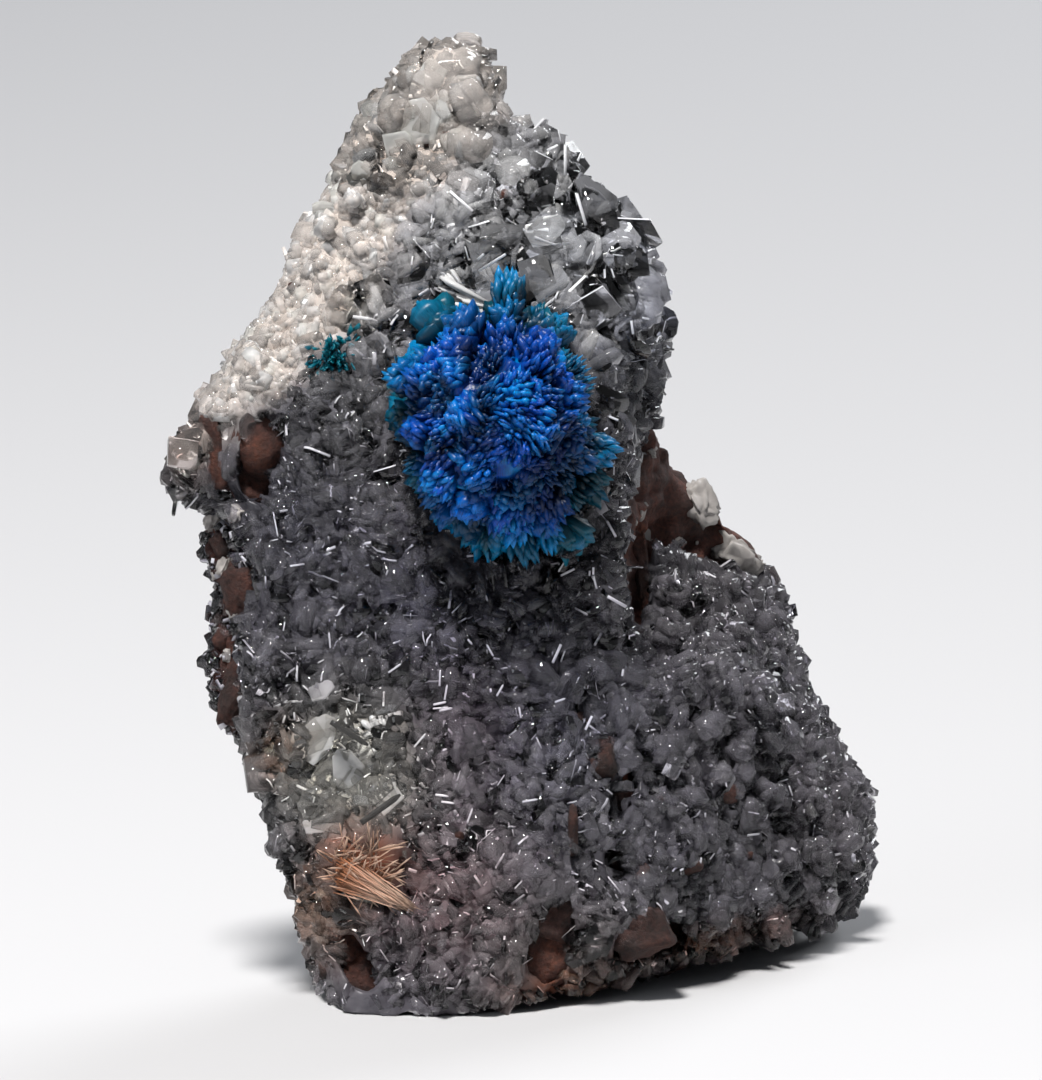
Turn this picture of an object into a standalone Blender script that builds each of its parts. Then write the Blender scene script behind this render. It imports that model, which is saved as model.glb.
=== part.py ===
"""Cavansite on matrix: a blue rosette on a crust of zeolite crystals over basalt, on its broken foot.

The specimen is drawn as it is seen from the front: X runs to the right, Z up and Y away from the viewer.
Shapes are worked out in millimetres, and the mesh makers turn them into metres.
"""

import math
import random

import bmesh
import bpy
from mathutils import Matrix, Vector, noise
from mathutils.geometry import delaunay_2d_cdt

MM = 0.001
UP = Vector((0, 0, 1))

# Driving sizes of the rock, in millimetres
MESH_STEP = 1.65  # spacing of the points inside the outline
CRUST_THICKNESS = 2.0
PIECE_GAP = 0.35  # free space between two pieces that touch in the real specimen
EXPOSED_DEPTH = 0.6  # bare basalt lies this far behind the crust's face
FACE_LEAN = 0.17  # the face leans back by this much for each millimetre of height
RIM_WIDTH = 3.2  # the face rounds off towards the rim over this width
FACE_LUMPS = 0.45  # height of the face's lumps
FACE_GRAIN = 0.28  # each point of the face is shifted in or out by up to this
BACK_LUMPS = 0.7
RIM_WRAP = 1.5  # past the basalt's outline the crust is thicker by this
CRUST_DRAW_IN = 0.25  # where the crust's back is free, its outline lies this far inside the front's
BASALT_DRAW_IN = 0.7
BOX_MIDDLE = (0.25, 10.54)  # x and y of the middle of the whole box, which is moved to the origin

# The rim of the face, from the foot's left end clockwise: x, y, z
RIM = (
    (-8.6, 3.0, 0.0), (-9.4, 3.5, 1.7), (-9.8, 4.0, 4.5), (-10.7, 4.5, 6.7), (-11.5, 5.0, 9.3),
    (-12.3, 5.5, 11.2), (-13.7, 6.0, 12.3), (-14.3, 6.4, 15.8), (-14.1, 6.5, 17.8), (-14.5, 7.0, 20.5),
    (-14.1, 7.2, 22.2), (-15.3, 7.2, 22.9), (-15.8, 7.3, 23.6), (-15.0, 7.5, 25.3), (-14.0, 7.7, 27.1),
    (-12.1, 8.0, 30.0), (-10.6, 8.3, 32.4), (-10.0, 8.5, 34.4), (-9.1, 8.5, 35.1), (-8.1, 8.8, 37.2),
    (-6.5, 9.0, 40.1), (-5.3, 9.0, 41.4), (-4.4, 9.0, 42.5), (-3.3, 9.0, 42.8), (-2.2, 9.0, 42.4),
    (-1.6, 9.0, 41.4), (-1.5, 9.0, 40.2), (-0.4, 9.2, 39.2), (0.8, 9.3, 38.6), (2.3, 9.5, 36.7),
    (3.3, 10.5, 35.6), (4.2, 12.0, 34.4), (5.1, 12.0, 32.8), (5.8, 12.0, 30.8), (6.4, 11.5, 28.8),
    (6.0, 11.5, 27.2), (5.9, 12.0, 24.7), (7.3, 15.0, 22.8), (9.1, 16.0, 20.5), (11.0, 17.0, 18.3),
    (11.5, 17.2, 17.0), (12.0, 17.5, 16.0), (12.8, 17.5, 12.4), (14.2, 18.0, 9.7), (15.4, 18.5, 7.5),
    (16.3, 19.0, 5.7), (16.2, 19.0, 3.2), (15.7, 18.5, 1.3), (14.0, 17.0, 0.8), (11.4, 13.0, 0.7),
    (7.5, 8.0, 0.6), (4.4, 5.0, 0.5), (1.5, 2.5, 0.3), (-1.5, 0.5, 0.0), (-4.3, 0.0, 0.0), (-8.0, 0.8, 0.0),
)

# The basalt's own outline: x, z. Its foot is straight, and past the rim's sides it is cut off by the rim
BASALT_OUTLINE = (
    (-8.0, 0.0), (-9.1, 3.0), (-10.2, 7.5), (-10.7, 9.5), (-12.3, 11.2), (-15.4, 10.8), (-16.2, 16.0),
    (-16.2, 21.9), (-14.1, 22.2), (-14.2, 24.4), (-12.7, 27.3), (-10.5, 31.3), (-8.6, 35.0), (-6.6, 38.0),
    (-4.6, 39.6), (-3.0, 39.0), (-1.0, 37.2), (1.2, 35.4), (3.1, 33.4), (4.3, 31.0), (5.0, 28.6),
    (5.0, 26.4), (5.9, 24.7), (9.6, 24.4), (13.4, 19.0), (11.5, 17.0), (11.2, 15.2), (11.6, 12.4),
    (13.0, 9.2), (14.6, 6.6), (14.8, 3.0), (14.0, 0.8), (13.6, 0.0),
)
FOOT_HEIGHT = 1.2  # below this the basalt reaches down past the crust's raised edge
FOOT_SET_BACK = 0.8  # and lies this far behind the crust's back

# Where the crust has broken away and basalt shows: x, z
BARE_PATCHES = {
    "left_rim": (
        (-12.3, 11.2), (-12.3, 13.2), (-12.9, 15.2), (-12.5, 17.2), (-11.8, 18.8), (-12.3, 20.6),
        (-13.1, 21.9), (-14.1, 22.2), (-16.6, 21.7), (-16.6, 11.0), (-13.5, 10.4),
    ),
    "upper_left": (
        (-11.4, 27.1), (-10.5, 26.0), (-10.8, 24.6), (-11.5, 22.6), (-12.5, 23.2), (-12.8, 24.6),
        (-12.3, 26.2),
    ),
    "right_shoulder": (
        (5.9, 24.7), (5.2, 22.9), (4.6, 20.8), (4.9, 19.0), (4.8, 16.8), (5.5, 16.4), (6.0, 18.0),
        (6.0, 19.8), (7.4, 19.2), (9.3, 18.0), (11.5, 17.0), (13.4, 18.8), (10.0, 23.6), (7.6, 26.0),
    ),
    "foot_left": (
        (-7.7, 4.0), (-7.1, 2.9), (-6.4, 2.4), (-6.4, 1.1), (-7.3, 1.2), (-8.2, 2.1), (-8.3, 2.9),
    ),
    "foot_middle": ((2.2, 5.4), (2.5, 3.6), (2.0, 1.6), (0.9, 1.2), (0.4, 1.8), (0.3, 3.2), (0.9, 4.5)),
    "foot_pocket": ((5.0, 3.8), (6.5, 3.8), (7.5, 2.9), (7.6, 1.8), (6.0, 1.6), (4.6, 1.8), (4.1, 2.8)),
    "middle": ((4.2, 10.2), (5.2, 10.5), (5.4, 9.6), (4.6, 8.5), (3.7, 8.6)),
    "lower_middle": ((3.8, 7.4), (4.8, 7.1), (5.0, 5.9), (4.1, 5.3)),
}

# The rounded knob at the very top: its middle and radius
KNOB_MIDDLE = (-3.3, 9.4, 41.0)
KNOB_RADIUS = 1.55

# The crust's druse: flat crystals that stand in all directions
PLATE_COUNT = 107
PLATE_SPACING = 1.75
PLATE_WIDTH = (1.2, 2.4)
PLATE_REACH = (0.35, 1.1)  # how far a plate stands out of the crust
PLATE_ROOT = 0.9
PLATE_FLOOR = 0.45  # no plate comes nearer than this to the crust's back or to the table
PLATE_THICKNESS = (0.4, 0.75)
PLATE_CLEAR_OF_BARE = 1.1
PLATE_CLEAR_OF_RIM = 0.35
PLATE_PAST_RIM = 0.3  # no plate stands out past the rim by more than about this
PLATE_CLEAR_OF_SEAT = 1.6
PLATE_OUTLINES = (
    ((0.5, -0.2), (0.3, 0.5), (-0.3, 0.5), (-0.5, -0.2), (-0.4, -0.5), (0.4, -0.5)),
    ((0.4, -0.5), (0.5, 0.35), (0.1, 0.5), (-0.5, 0.2), (-0.4, -0.5)),
    ((0.4, -0.5), (0.5, 0.5), (-0.4, 0.4), (-0.5, -0.5)),
)

# The blue rosette: its middle on the face, and its half axes to the blades' tips
BALL_MIDDLE = (-1.0, 26.3)
BALL_HALF = (5.2, 5.4, 6.3)  # across, out of the face, up
BALL_OFFSET = 1.2  # its middle stands this far in front of its seat
BALL_CORE = 0.78  # the solid middle, as a share of the half axes
BALL_BUNDLES = 37
BLADES_IN_BUNDLE = 4
BALL_LONG_BLADES = (
    # heading: across, out, up
    (0.10, 0.15, 1.0),
    (0.05, 0.30, -1.0),
    (-0.75, 0.10, 0.60),
    (0.85, 0.10, -0.55),
)

# The small spray left of the rosette
TUFT_MIDDLE = (-8.5, 29.6)
TUFT_RADIUS = 1.3
TUFT_BLADES = 9

# The peach-coloured fan low on the left
SHEAF_MIDDLE = (-6.9, 6.6)
SHEAF_REACH = 2.3
SHEAF_BLADES_IN_FAN = 4
SHEAF_FANS = (
    # heading and half spread in degrees, share of the reach
    (-28, 26, 1.0),
    (62, 22, 0.85),
    (176, 26, 0.6),
)

SEAT_GAP = 0.3  # each cluster stands this far off the crust that carries it


def mixed(a, b, share):
    """The value that lies the given share of the way from a to b."""
    return a + (b - a) * share


def smooth_step(value, low, high):
    """Rises smoothly from 0 at low to 1 at high."""
    share = min(1.0, max(0.0, (value - low) / (high - low)))
    return share * share * (3 - 2 * share)


def soft_ramp(value, width):
    """Zero for negative values and the value itself for positive ones, with a rounded corner."""
    return width * math.log1p(math.exp(min(40.0, value / width)))


def inside(point, outline):
    """True if the point lies inside the closed outline."""
    x, z = point
    crossings = 0
    for (x0, z0), (x1, z1) in zip(outline, outline[1:] + outline[:1]):
        if (z0 > z) != (z1 > z) and x < mixed(x0, x1, (z - z0) / (z1 - z0)):
            crossings += 1
    return crossings % 2 == 1


def nearest_on(point, outline):
    """Distance from the point to the outline, with the edge and the share along it where it is nearest."""
    p = Vector(point)
    best = (math.inf, 0, 0.0)
    for i, (start, end) in enumerate(zip(outline, outline[1:] + outline[:1])):
        a = Vector(start)
        run = Vector(end) - a
        share = min(1.0, max(0.0, (p - a).dot(run) / run.length_squared))
        distance = (p - a - run * share).length
        if distance < best[0]:
            best = (distance, i, share)
    return best


RIM_OUTLINE = tuple((x, z) for x, _, z in RIM)


def rim_depth(edge, share):
    """The rim's y at a place on one of its edges."""
    return mixed(RIM[edge][1], RIM[(edge + 1) % len(RIM)][1], share)


def face_depth(x, z):
    """The crust's face without its roughness: it leans back, turns away on the right and rounds at the rim.

    Above the foot the right side steps back behind the part that carries the rosette.
    """
    turn = 1.2 * soft_ramp(x - 3.6, 0.8)
    step = 4.5 * smooth_step(x, 4.2, 6.0) * smooth_step(z, 13.0, 18.0)
    face = FACE_LEAN * z + turn + step
    distance, edge, share = nearest_on((x, z), RIM_OUTLINE)
    if not inside((x, z), RIM_OUTLINE):
        return rim_depth(edge, share)
    rounding = max(0.0, 1 - distance / RIM_WIDTH) ** 2
    return mixed(face, rim_depth(edge, share), rounding)


def back_depth(x, z):
    """The broken back: the nearest of a few flat fractures, running out to a thin edge at the rim."""
    fractures = (
        18.2 - 0.10 * z + 0.10 * x,
        23.2 - 0.27 * z - 0.05 * x,
        20.5 + 0.55 * (x + 5.0),
        25.5 - 0.32 * x,
        16.2 + 0.42 * x + 0.06 * z,
    )
    distance, edge, share = nearest_on((x, z), RIM_OUTLINE)
    if z < 3.0 and -9.0 < x < 14.5:
        distance = max(distance, RIM_WIDTH + 3.0)
    edge_depth = rim_depth(edge, share) + CRUST_THICKNESS + 1.6 + 1.7 * distance
    return min(*fractures, edge_depth)


def wrinkle(x, z, size, seed):
    """Smooth noise between -1 and 1 with lumps of the given size."""
    return noise.noise(Vector((x / size, z / size, seed)))


def grid_inside(outline, step, jitter, clear, chance):
    """Points of a shaken triangular grid that lie inside the outline and clear of its edge."""
    xs = [p[0] for p in outline]
    zs = [p[1] for p in outline]
    row_height = step * math.sqrt(3) / 2
    points = []
    for row in range(int((max(zs) - min(zs)) / row_height) + 1):
        for column in range(int((max(xs) - min(xs)) / step) + 2):
            x = min(xs) + (column + 0.5 * (row % 2)) * step + chance.uniform(-jitter, jitter)
            z = min(zs) + row * row_height + chance.uniform(-jitter, jitter)
            if inside((x, z), outline) and nearest_on((x, z), outline)[0] > clear:
                points.append((x, z))
    return points


def rock_triangles():
    """One triangulation of the front view, whose edges follow the rim, the basalt's outline and the patches.

    Returns the points and the triangles that the crust and the basalt each take from it.
    """
    chance = random.Random(5)
    outlines = [RIM_OUTLINE, BASALT_OUTLINE, *BARE_PATCHES.values()]
    points = []
    edges = []
    for outline in outlines:
        first = len(points)
        points += [Vector(p) for p in outline]
        edges += [(first + i, first + (i + 1) % len(outline)) for i in range(len(outline))]
    near = 0.45 * MESH_STEP
    for point in grid_inside(RIM_OUTLINE, MESH_STEP, 0.28 * MESH_STEP, near, chance):
        if all(nearest_on(point, outline)[0] > near for outline in outlines):
            points.append(Vector(point))
    made, _, faces, *_ = delaunay_2d_cdt(points, edges, [], 0, 0.02)
    crust, basalt = [], []
    for face in faces:
        centre = sum((made[i] for i in face), Vector((0, 0))) / len(face)
        in_rim = inside(centre, RIM_OUTLINE)
        if in_rim and not any(inside(centre, patch) for patch in BARE_PATCHES.values()):
            crust.append(tuple(face))
        if inside(centre, BASALT_OUTLINE) and (in_rim or centre.y < FOOT_HEIGHT):
            basalt.append(tuple(face))
    return made, crust, basalt


def one_region(faces):
    """Keeps the largest set of triangles that hang together by their edges."""
    left = set(range(len(faces)))
    by_edge = {}
    for i, face in enumerate(faces):
        for a, b in zip(face, face[1:] + face[:1]):
            by_edge.setdefault(frozenset((a, b)), []).append(i)
    best = []
    while left:
        stack = [left.pop()]
        region = list(stack)
        while stack:
            face = faces[stack.pop()]
            for a, b in zip(face, face[1:] + face[:1]):
                for other in by_edge[frozenset((a, b))]:
                    if other in left:
                        left.remove(other)
                        stack.append(other)
                        region.append(other)
        best = max(best, region, key=len)
    return [faces[i] for i in best]


def slab(points, faces, front, back, draw_in):
    """A closed bmesh between two depths over the same triangles: front and back give a point's depths.

    Along the slab's edge the points of its back are drawn in by what draw_in gives, so that the edge isn't
    square. The foot keeps its line.
    """
    directed = {(a, b) for face in faces for a, b in zip(face, face[1:] + face[:1])}
    open_edges = [(a, b) for a, b in directed if (b, a) not in directed]
    inward = {}
    for a, b in open_edges:
        along = points[b] - points[a]
        for i in (a, b):
            inward[i] = inward.get(i, Vector((0, 0))) + Vector((-along.y, along.x)).normalized()
    mesh = bmesh.new()
    fronts, backs = {}, {}
    for i in sorted({i for face in faces for i in face}):
        x, z = points[i]
        fronts[i] = mesh.verts.new(Vector((x, front(i), z)) * MM)
        if i in inward and z > 0 and inward[i].length > 0.5:
            x, z = points[i] + inward[i].normalized() * draw_in(i)
        backs[i] = mesh.verts.new(Vector((x, back(i), max(0.0, z))) * MM)
    for face in faces:
        mesh.faces.new([fronts[i] for i in face])
        mesh.faces.new([backs[i] for i in reversed(face)])
    for a, b in open_edges:
        mesh.faces.new((fronts[b], fronts[a], backs[a], backs[b]))
    bmesh.ops.recalc_face_normals(mesh, faces=mesh.faces)
    return mesh


def new_object(name, mesh, material):
    """A scene object from a bmesh, which it uses up."""
    data = bpy.data.meshes.new(name)
    mesh.to_mesh(data)
    mesh.free()
    item = bpy.data.objects.new(name, data)
    item.data.materials.append(material)
    bpy.context.scene.collection.objects.link(item)
    return item


def new_material(name, colour, roughness):
    """A plain material with the piece's colour."""
    material = bpy.data.materials.new(name)
    material.use_nodes = True
    shader = material.node_tree.nodes["Principled BSDF"]
    shader.inputs["Base Color"].default_value = (*colour, 1)
    shader.inputs["Roughness"].default_value = roughness
    shader.inputs["Metallic"].default_value = 0.0
    material.diffuse_color = (*colour, 1)
    return material


def joined(item, other, operation):
    """Applies a Boolean with the other object to the item, and deletes the other."""
    modifier = item.modifiers.new(operation, "BOOLEAN")
    modifier.operation = operation
    modifier.object = other
    modifier.solver = "EXACT"
    modifier.use_self = True
    graph = bpy.context.evaluated_depsgraph_get()
    made = bpy.data.meshes.new_from_object(item.evaluated_get(graph))
    item.modifiers.clear()
    item.data = made
    bpy.data.objects.remove(other)
    return item


def largest_shell(item):
    """Drops the closed voids that crossing crystals leave between them, and keeps the outer surface."""
    mesh = bmesh.new()
    mesh.from_mesh(item.data)
    left = set(mesh.faces)
    shells = []
    while left:
        stack = [left.pop()]
        shell = list(stack)
        while stack:
            for edge in stack.pop().edges:
                for face in edge.link_faces:
                    if face in left:
                        left.remove(face)
                        stack.append(face)
                        shell.append(face)
        shells.append(shell)
    outer = set(max(shells, key=len))
    bmesh.ops.delete(mesh, geom=[face for face in mesh.faces if face not in outer], context="FACES")
    mesh.to_mesh(item.data)
    mesh.free()
    return item


def add_prism(mesh, frame, outline, low, high):
    """Adds a closed prism to the mesh: an outline across the frame, from low to high along its Z."""
    bottom = [mesh.verts.new(frame @ Vector((x, y, low)) * MM) for x, y in outline]
    top = [mesh.verts.new(frame @ Vector((x, y, high)) * MM) for x, y in outline]
    mesh.faces.new(list(reversed(bottom)))
    mesh.faces.new(top)
    for i in range(len(outline)):
        j = (i + 1) % len(outline)
        mesh.faces.new((bottom[i], bottom[j], top[j], top[i]))


def add_blade(mesh, frame, width, thickness, root, tip, point):
    """Adds a lath-shaped crystal along the frame's Z: a flat prism that ends in a point."""
    shoulder = tip - point
    section = ((0.5, 0.0), (0.2, 0.5), (-0.2, 0.5), (-0.5, 0.0), (-0.2, -0.5), (0.2, -0.5))
    rings = []
    for height, narrowing in ((root, 0.55), (shoulder, 1.0)):
        rings.append([
            mesh.verts.new(frame @ Vector((x * width * narrowing, y * thickness * narrowing, height)) * MM)
            for x, y in section
        ])
    mesh.faces.new(list(reversed(rings[0])))
    end = mesh.verts.new(frame @ Vector((0, 0, tip)) * MM)
    for i in range(len(section)):
        j = (i + 1) % len(section)
        mesh.faces.new((rings[0][i], rings[0][j], rings[1][j], rings[1][i]))
        mesh.faces.new((rings[1][i], rings[1][j], end))


def frame_along(origin, direction, turn):
    """A frame at the origin whose Z runs along the direction, turned about it."""
    along = Vector(direction).normalized()
    basis = along.to_track_quat("Z", "X").to_matrix().to_4x4()
    return Matrix.Translation(origin) @ basis @ Matrix.Rotation(turn, 4, "Z")


def face_normal(x, z):
    """The direction out of the face at a place on it, from the slope over a small step."""
    step = 0.4
    along_x = (face_depth(x + step, z) - face_depth(x - step, z)) / (2 * step)
    along_z = (face_depth(x, z + step) - face_depth(x, z - step)) / (2 * step)
    return Vector((along_x, -1, along_z)).normalized()


SEATS = (
    # x, z, radius of the flat that a cluster stands on
    (BALL_MIDDLE[0], BALL_MIDDLE[1], 5.0),
    (TUFT_MIDDLE[0], TUFT_MIDDLE[1], 0.9),
    (SHEAF_MIDDLE[0], SHEAF_MIDDLE[1], 1.4),
)


def seat_frame(x, z):
    """The plane that a cluster stands on: a point of the face and the face's own direction there."""
    return Vector((x, face_depth(x, z), z)), face_normal(x, z)


def seat_depth(x, z, seat):
    """The y of a seat's plane at x, z."""
    origin, out = seat_frame(seat[0], seat[1])
    return origin.y - ((x - origin.x) * out.x + (z - origin.z) * out.z) / out.y


def rough_face(x, z):
    """The crust's face with its lumps, flat under each cluster."""
    lumps = 2 * FACE_LUMPS * wrinkle(x, z, 3.0, 1.7)
    grain = 2 * FACE_GRAIN * wrinkle(x, z, 0.37, 4.1)
    depth = face_depth(x, z) + lumps + grain
    for seat in SEATS:
        away = math.hypot(x - seat[0], z - seat[1])
        depth = mixed(seat_depth(x, z, seat), depth, smooth_step(away, seat[2], seat[2] + 1.0))
    return depth


def rough_back(x, z):
    """The broken back with its ledges and pits."""
    ledges = 0.6 * wrinkle(x, z, 4.5, 9.3) + 0.4 * wrinkle(x, z, 1.1, 2.9)
    return back_depth(x, z) + 2 * BACK_LUMPS * ledges


def plate_places(points, faces, front, chance):
    """Places on the crust's face, spread evenly and clear of its rim, the bare patches and the seats."""
    corners = [[Vector((points[i].x, front(i), points[i].y)) for i in face] for face in faces]
    areas = [(b - a).cross(c - a).length for a, b, c in corners]
    places = []
    for a, b, c in chance.choices(corners, areas, k=60 * PLATE_COUNT):
        u, v = sorted((chance.random(), chance.random()))
        place = a * u + b * (v - u) + c * (1 - v)
        seen = (place.x, place.z)
        if nearest_on(seen, RIM_OUTLINE)[0] < PLATE_CLEAR_OF_RIM:
            continue
        if any(nearest_on(seen, patch)[0] < PLATE_CLEAR_OF_BARE for patch in BARE_PATCHES.values()):
            continue
        if any(math.dist(seen, seat[:2]) < seat[2] + PLATE_CLEAR_OF_SEAT for seat in SEATS):
            continue
        if all((place - other).length > PLATE_SPACING for other in places):
            places.append(place)
        if len(places) == PLATE_COUNT:
            break
    return places


def plates_on(places, chance):
    """The druse's plates, in one mesh whose pieces cross each other."""
    mesh = bmesh.new()
    for place in places:
        width = chance.uniform(*PLATE_WIDTH)
        from_rim = nearest_on((place.x, place.z), RIM_OUTLINE)[0]
        height = min(chance.uniform(*PLATE_REACH), from_rim + PLATE_PAST_RIM) + PLATE_ROOT
        half_thickness = chance.uniform(*PLATE_THICKNESS) / 2
        lean = Vector((chance.uniform(-0.8, 0.8), 0, chance.uniform(-0.8, 0.8)))
        direction = face_normal(place.x, place.z) + lean
        stand = frame_along(place, direction, chance.uniform(0, math.pi))
        stand = stand @ Matrix.Rotation(math.pi / 2, 4, "X")
        shape = [(u * width, (v + 0.5) * height - PLATE_ROOT) for u, v in chance.choice(PLATE_OUTLINES)]
        corners = [stand @ Vector((u, v, side * half_thickness)) for u, v in shape for side in (-1, 1)]
        deepest = max(corner.y - face_depth(corner.x, corner.z) for corner in corners)
        lift = max(0.0, deepest - (CRUST_THICKNESS - PIECE_GAP - PLATE_FLOOR))
        rise = max(0.0, PLATE_FLOOR - min(corner.z for corner in corners))
        add_prism(mesh, Matrix.Translation((0, -lift, rise)) @ stand, shape, -half_thickness, half_thickness)
    bmesh.ops.recalc_face_normals(mesh, faces=mesh.faces)
    return mesh


def lump_mesh(middle, radius, detail, flattening):
    """A ball with an uneven surface, flattened from front to back."""
    mesh = bmesh.new()
    bmesh.ops.create_icosphere(mesh, subdivisions=detail, radius=1.0)
    for vert in mesh.verts:
        uneven = 1 + 0.12 * noise.noise(vert.co * 1.9)
        spot = Vector((vert.co.x, flattening * vert.co.y, vert.co.z)) * radius * uneven
        vert.co = (Vector(middle) + spot) * MM
    return mesh


def make_rock(basalt_material, zeolite_material):
    """The basalt and the crust on it. They share one triangulation, so they part along the same facets."""
    points, crust_faces, basalt_faces = rock_triangles()
    crust_faces = one_region(crust_faces)
    basalt_faces = one_region(basalt_faces)
    in_crust = {i for face in crust_faces for i in face}
    in_basalt = {i for face in basalt_faces for i in face}
    contact = [face_depth(p.x, p.y) + CRUST_THICKNESS for p in points]

    def crust_front(i):
        return min(rough_face(points[i].x, points[i].y), contact[i] - PIECE_GAP - 0.8)

    def crust_back(i):
        if i in in_basalt:
            return contact[i] - PIECE_GAP
        return contact[i] + RIM_WRAP * (1 + wrinkle(points[i].x, points[i].y, 2.1, 6.6))

    def basalt_front(i):
        if i in in_crust:
            return contact[i]
        if not inside(points[i], RIM_OUTLINE) and points[i].y < FOOT_HEIGHT:
            return contact[i] + FOOT_SET_BACK
        return face_depth(points[i].x, points[i].y) + EXPOSED_DEPTH

    def basalt_back(i):
        return max(rough_back(points[i].x, points[i].y), contact[i] + 1.2)

    def crust_draw_in(i):
        return 0.0 if i in in_basalt else CRUST_DRAW_IN

    basalt = slab(points, basalt_faces, basalt_front, basalt_back, lambda i: BASALT_DRAW_IN)
    basalt_item = new_object("basalt_matrix", basalt, basalt_material)
    crust = slab(points, crust_faces, crust_front, crust_back, crust_draw_in)
    crust_item = new_object("zeolite_crust", crust, zeolite_material)
    knob = lump_mesh(KNOB_MIDDLE, KNOB_RADIUS, 2, 0.9)
    joined(crust_item, new_object("knob", knob, zeolite_material), "UNION")
    chance = random.Random(21)
    plates = plates_on(plate_places(points, crust_faces, crust_front, chance), chance)
    joined(crust_item, new_object("plates", plates, zeolite_material), "UNION")
    return basalt_item, largest_shell(crust_item)


def cut_at_seat(item, origin, out):
    """Cuts off what lies behind the seat's plane."""
    mesh = bmesh.new()
    behind = frame_along(origin + out * SEAT_GAP, out, 0.0)
    side = 12.0
    add_prism(mesh, behind, ((side, side), (-side, side), (-side, -side), (side, -side)), -side, 0.0)
    bmesh.ops.recalc_face_normals(mesh, faces=mesh.faces)
    cutter = new_object("behind_seat", mesh, item.data.materials[0])
    return largest_shell(joined(item, cutter, "DIFFERENCE"))


def even_directions(count, chance, spread):
    """Directions spread evenly over a sphere by the golden angle, each shaken a little."""
    golden = math.pi * (3 - math.sqrt(5))
    directions = []
    for i in range(count):
        height = 1 - 2 * (i + 0.5) / count
        ring = math.sqrt(1 - height * height)
        even = Vector((ring * math.cos(golden * i), ring * math.sin(golden * i), height))
        shake = Vector([chance.gauss(0, spread) for _ in range(3)])
        directions.append((even + shake).normalized())
    return directions


def make_ball(material):
    """The rosette: bundles of pointed blades that radiate from one middle, grown together at the core."""
    chance = random.Random(3)
    origin, out = seat_frame(*BALL_MIDDLE)
    middle = origin + out * BALL_OFFSET
    up = (UP - out * UP.dot(out)).normalized()
    across = up.cross(out)
    axes = Matrix((across, out, up)).transposed()
    half = Matrix.Diagonal(BALL_HALF)

    core = bmesh.new()
    bmesh.ops.create_icosphere(core, subdivisions=2, radius=1.0)
    for vert in core.verts:
        bump = 1 + 0.10 * noise.noise(vert.co * 2.2)
        vert.co = (middle + axes @ (half @ (vert.co * BALL_CORE * bump))) * MM
    item = new_object("cavansite_ball", core, material)

    blades = bmesh.new()
    headings = []
    for bundle in even_directions(BALL_BUNDLES, chance, 0.08):
        if bundle.y < -0.25:
            continue
        bundle_reach = chance.uniform(0.92, 1.0)
        turn = chance.uniform(0, math.pi)
        for _ in range(BLADES_IN_BUNDLE):
            shake = Vector([chance.gauss(0, 0.16) for _ in range(3)])
            headings.append(((bundle + shake).normalized(), turn, bundle_reach * chance.uniform(0.92, 1.03)))
    headings += [(Vector(heading).normalized(), 0.4, 1.1) for heading in BALL_LONG_BLADES]
    for heading, turn, share in headings:
        reach = (half @ heading).length * share
        frame = frame_along(middle, axes @ (half @ heading), turn + chance.uniform(-0.3, 0.3))
        width = chance.uniform(1.3, 2.1)
        add_blade(blades, frame, width, 0.45 * width, 0.5 * reach, reach, chance.uniform(0.7, 1.1))
    bmesh.ops.recalc_face_normals(blades, faces=blades.faces)
    joined(item, new_object("blades", blades, material), "UNION")
    return cut_at_seat(item, origin, out)


def make_tuft(material):
    """The small spray: short blades that fan out of one point of the crust."""
    chance = random.Random(8)
    origin, out = seat_frame(*TUFT_MIDDLE)
    core = bmesh.new()
    bmesh.ops.create_icosphere(core, subdivisions=1, radius=0.55 * TUFT_RADIUS * MM)
    bmesh.ops.translate(core, verts=core.verts, vec=(origin + out * 0.3) * MM)
    item = new_object("cavansite_tuft", core, material)
    blades = bmesh.new()
    for i in range(TUFT_BLADES):
        angle = 2 * math.pi * i / TUFT_BLADES
        side = Vector((math.cos(angle), 0, math.sin(angle)))
        direction = out * chance.uniform(0.4, 1.1) + side * 0.9
        reach = TUFT_RADIUS * chance.uniform(0.85, 1.1)
        frame = frame_along(origin + out * 0.3, direction, chance.uniform(0, math.pi))
        add_blade(blades, frame, 0.6, 0.3, 0.1, reach, 0.4)
    bmesh.ops.recalc_face_normals(blades, faces=blades.faces)
    joined(item, new_object("blades", blades, material), "UNION")
    return cut_at_seat(item, origin, out)


def make_sheaf(material):
    """The fan: fibres that spread from a waist, most of them down to the right and up."""
    chance = random.Random(4)
    origin, out = seat_frame(*SHEAF_MIDDLE)
    waist = origin + out * 0.5
    core = bmesh.new()
    bmesh.ops.create_icosphere(core, subdivisions=1, radius=0.75 * MM)
    bmesh.ops.translate(core, verts=core.verts, vec=waist * MM)
    item = new_object("stilbite_sheaf", core, material)
    blades = bmesh.new()
    for heading, half_spread, share in SHEAF_FANS:
        for i in range(SHEAF_BLADES_IN_FAN):
            angle = math.radians(heading + half_spread * (2 * i / (SHEAF_BLADES_IN_FAN - 1) - 1))
            direction = Vector((math.cos(angle), 0, math.sin(angle))) + out * chance.uniform(0.15, 0.4)
            reach = SHEAF_REACH * share * chance.uniform(0.9, 1.05)
            frame = frame_along(waist, direction, chance.uniform(-0.3, 0.3))
            add_blade(blades, frame, 0.5, 0.4, 0.1, reach, 0.35)
    bmesh.ops.recalc_face_normals(blades, faces=blades.faces)
    joined(item, new_object("blades", blades, material), "UNION")
    return cut_at_seat(item, origin, out)


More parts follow.
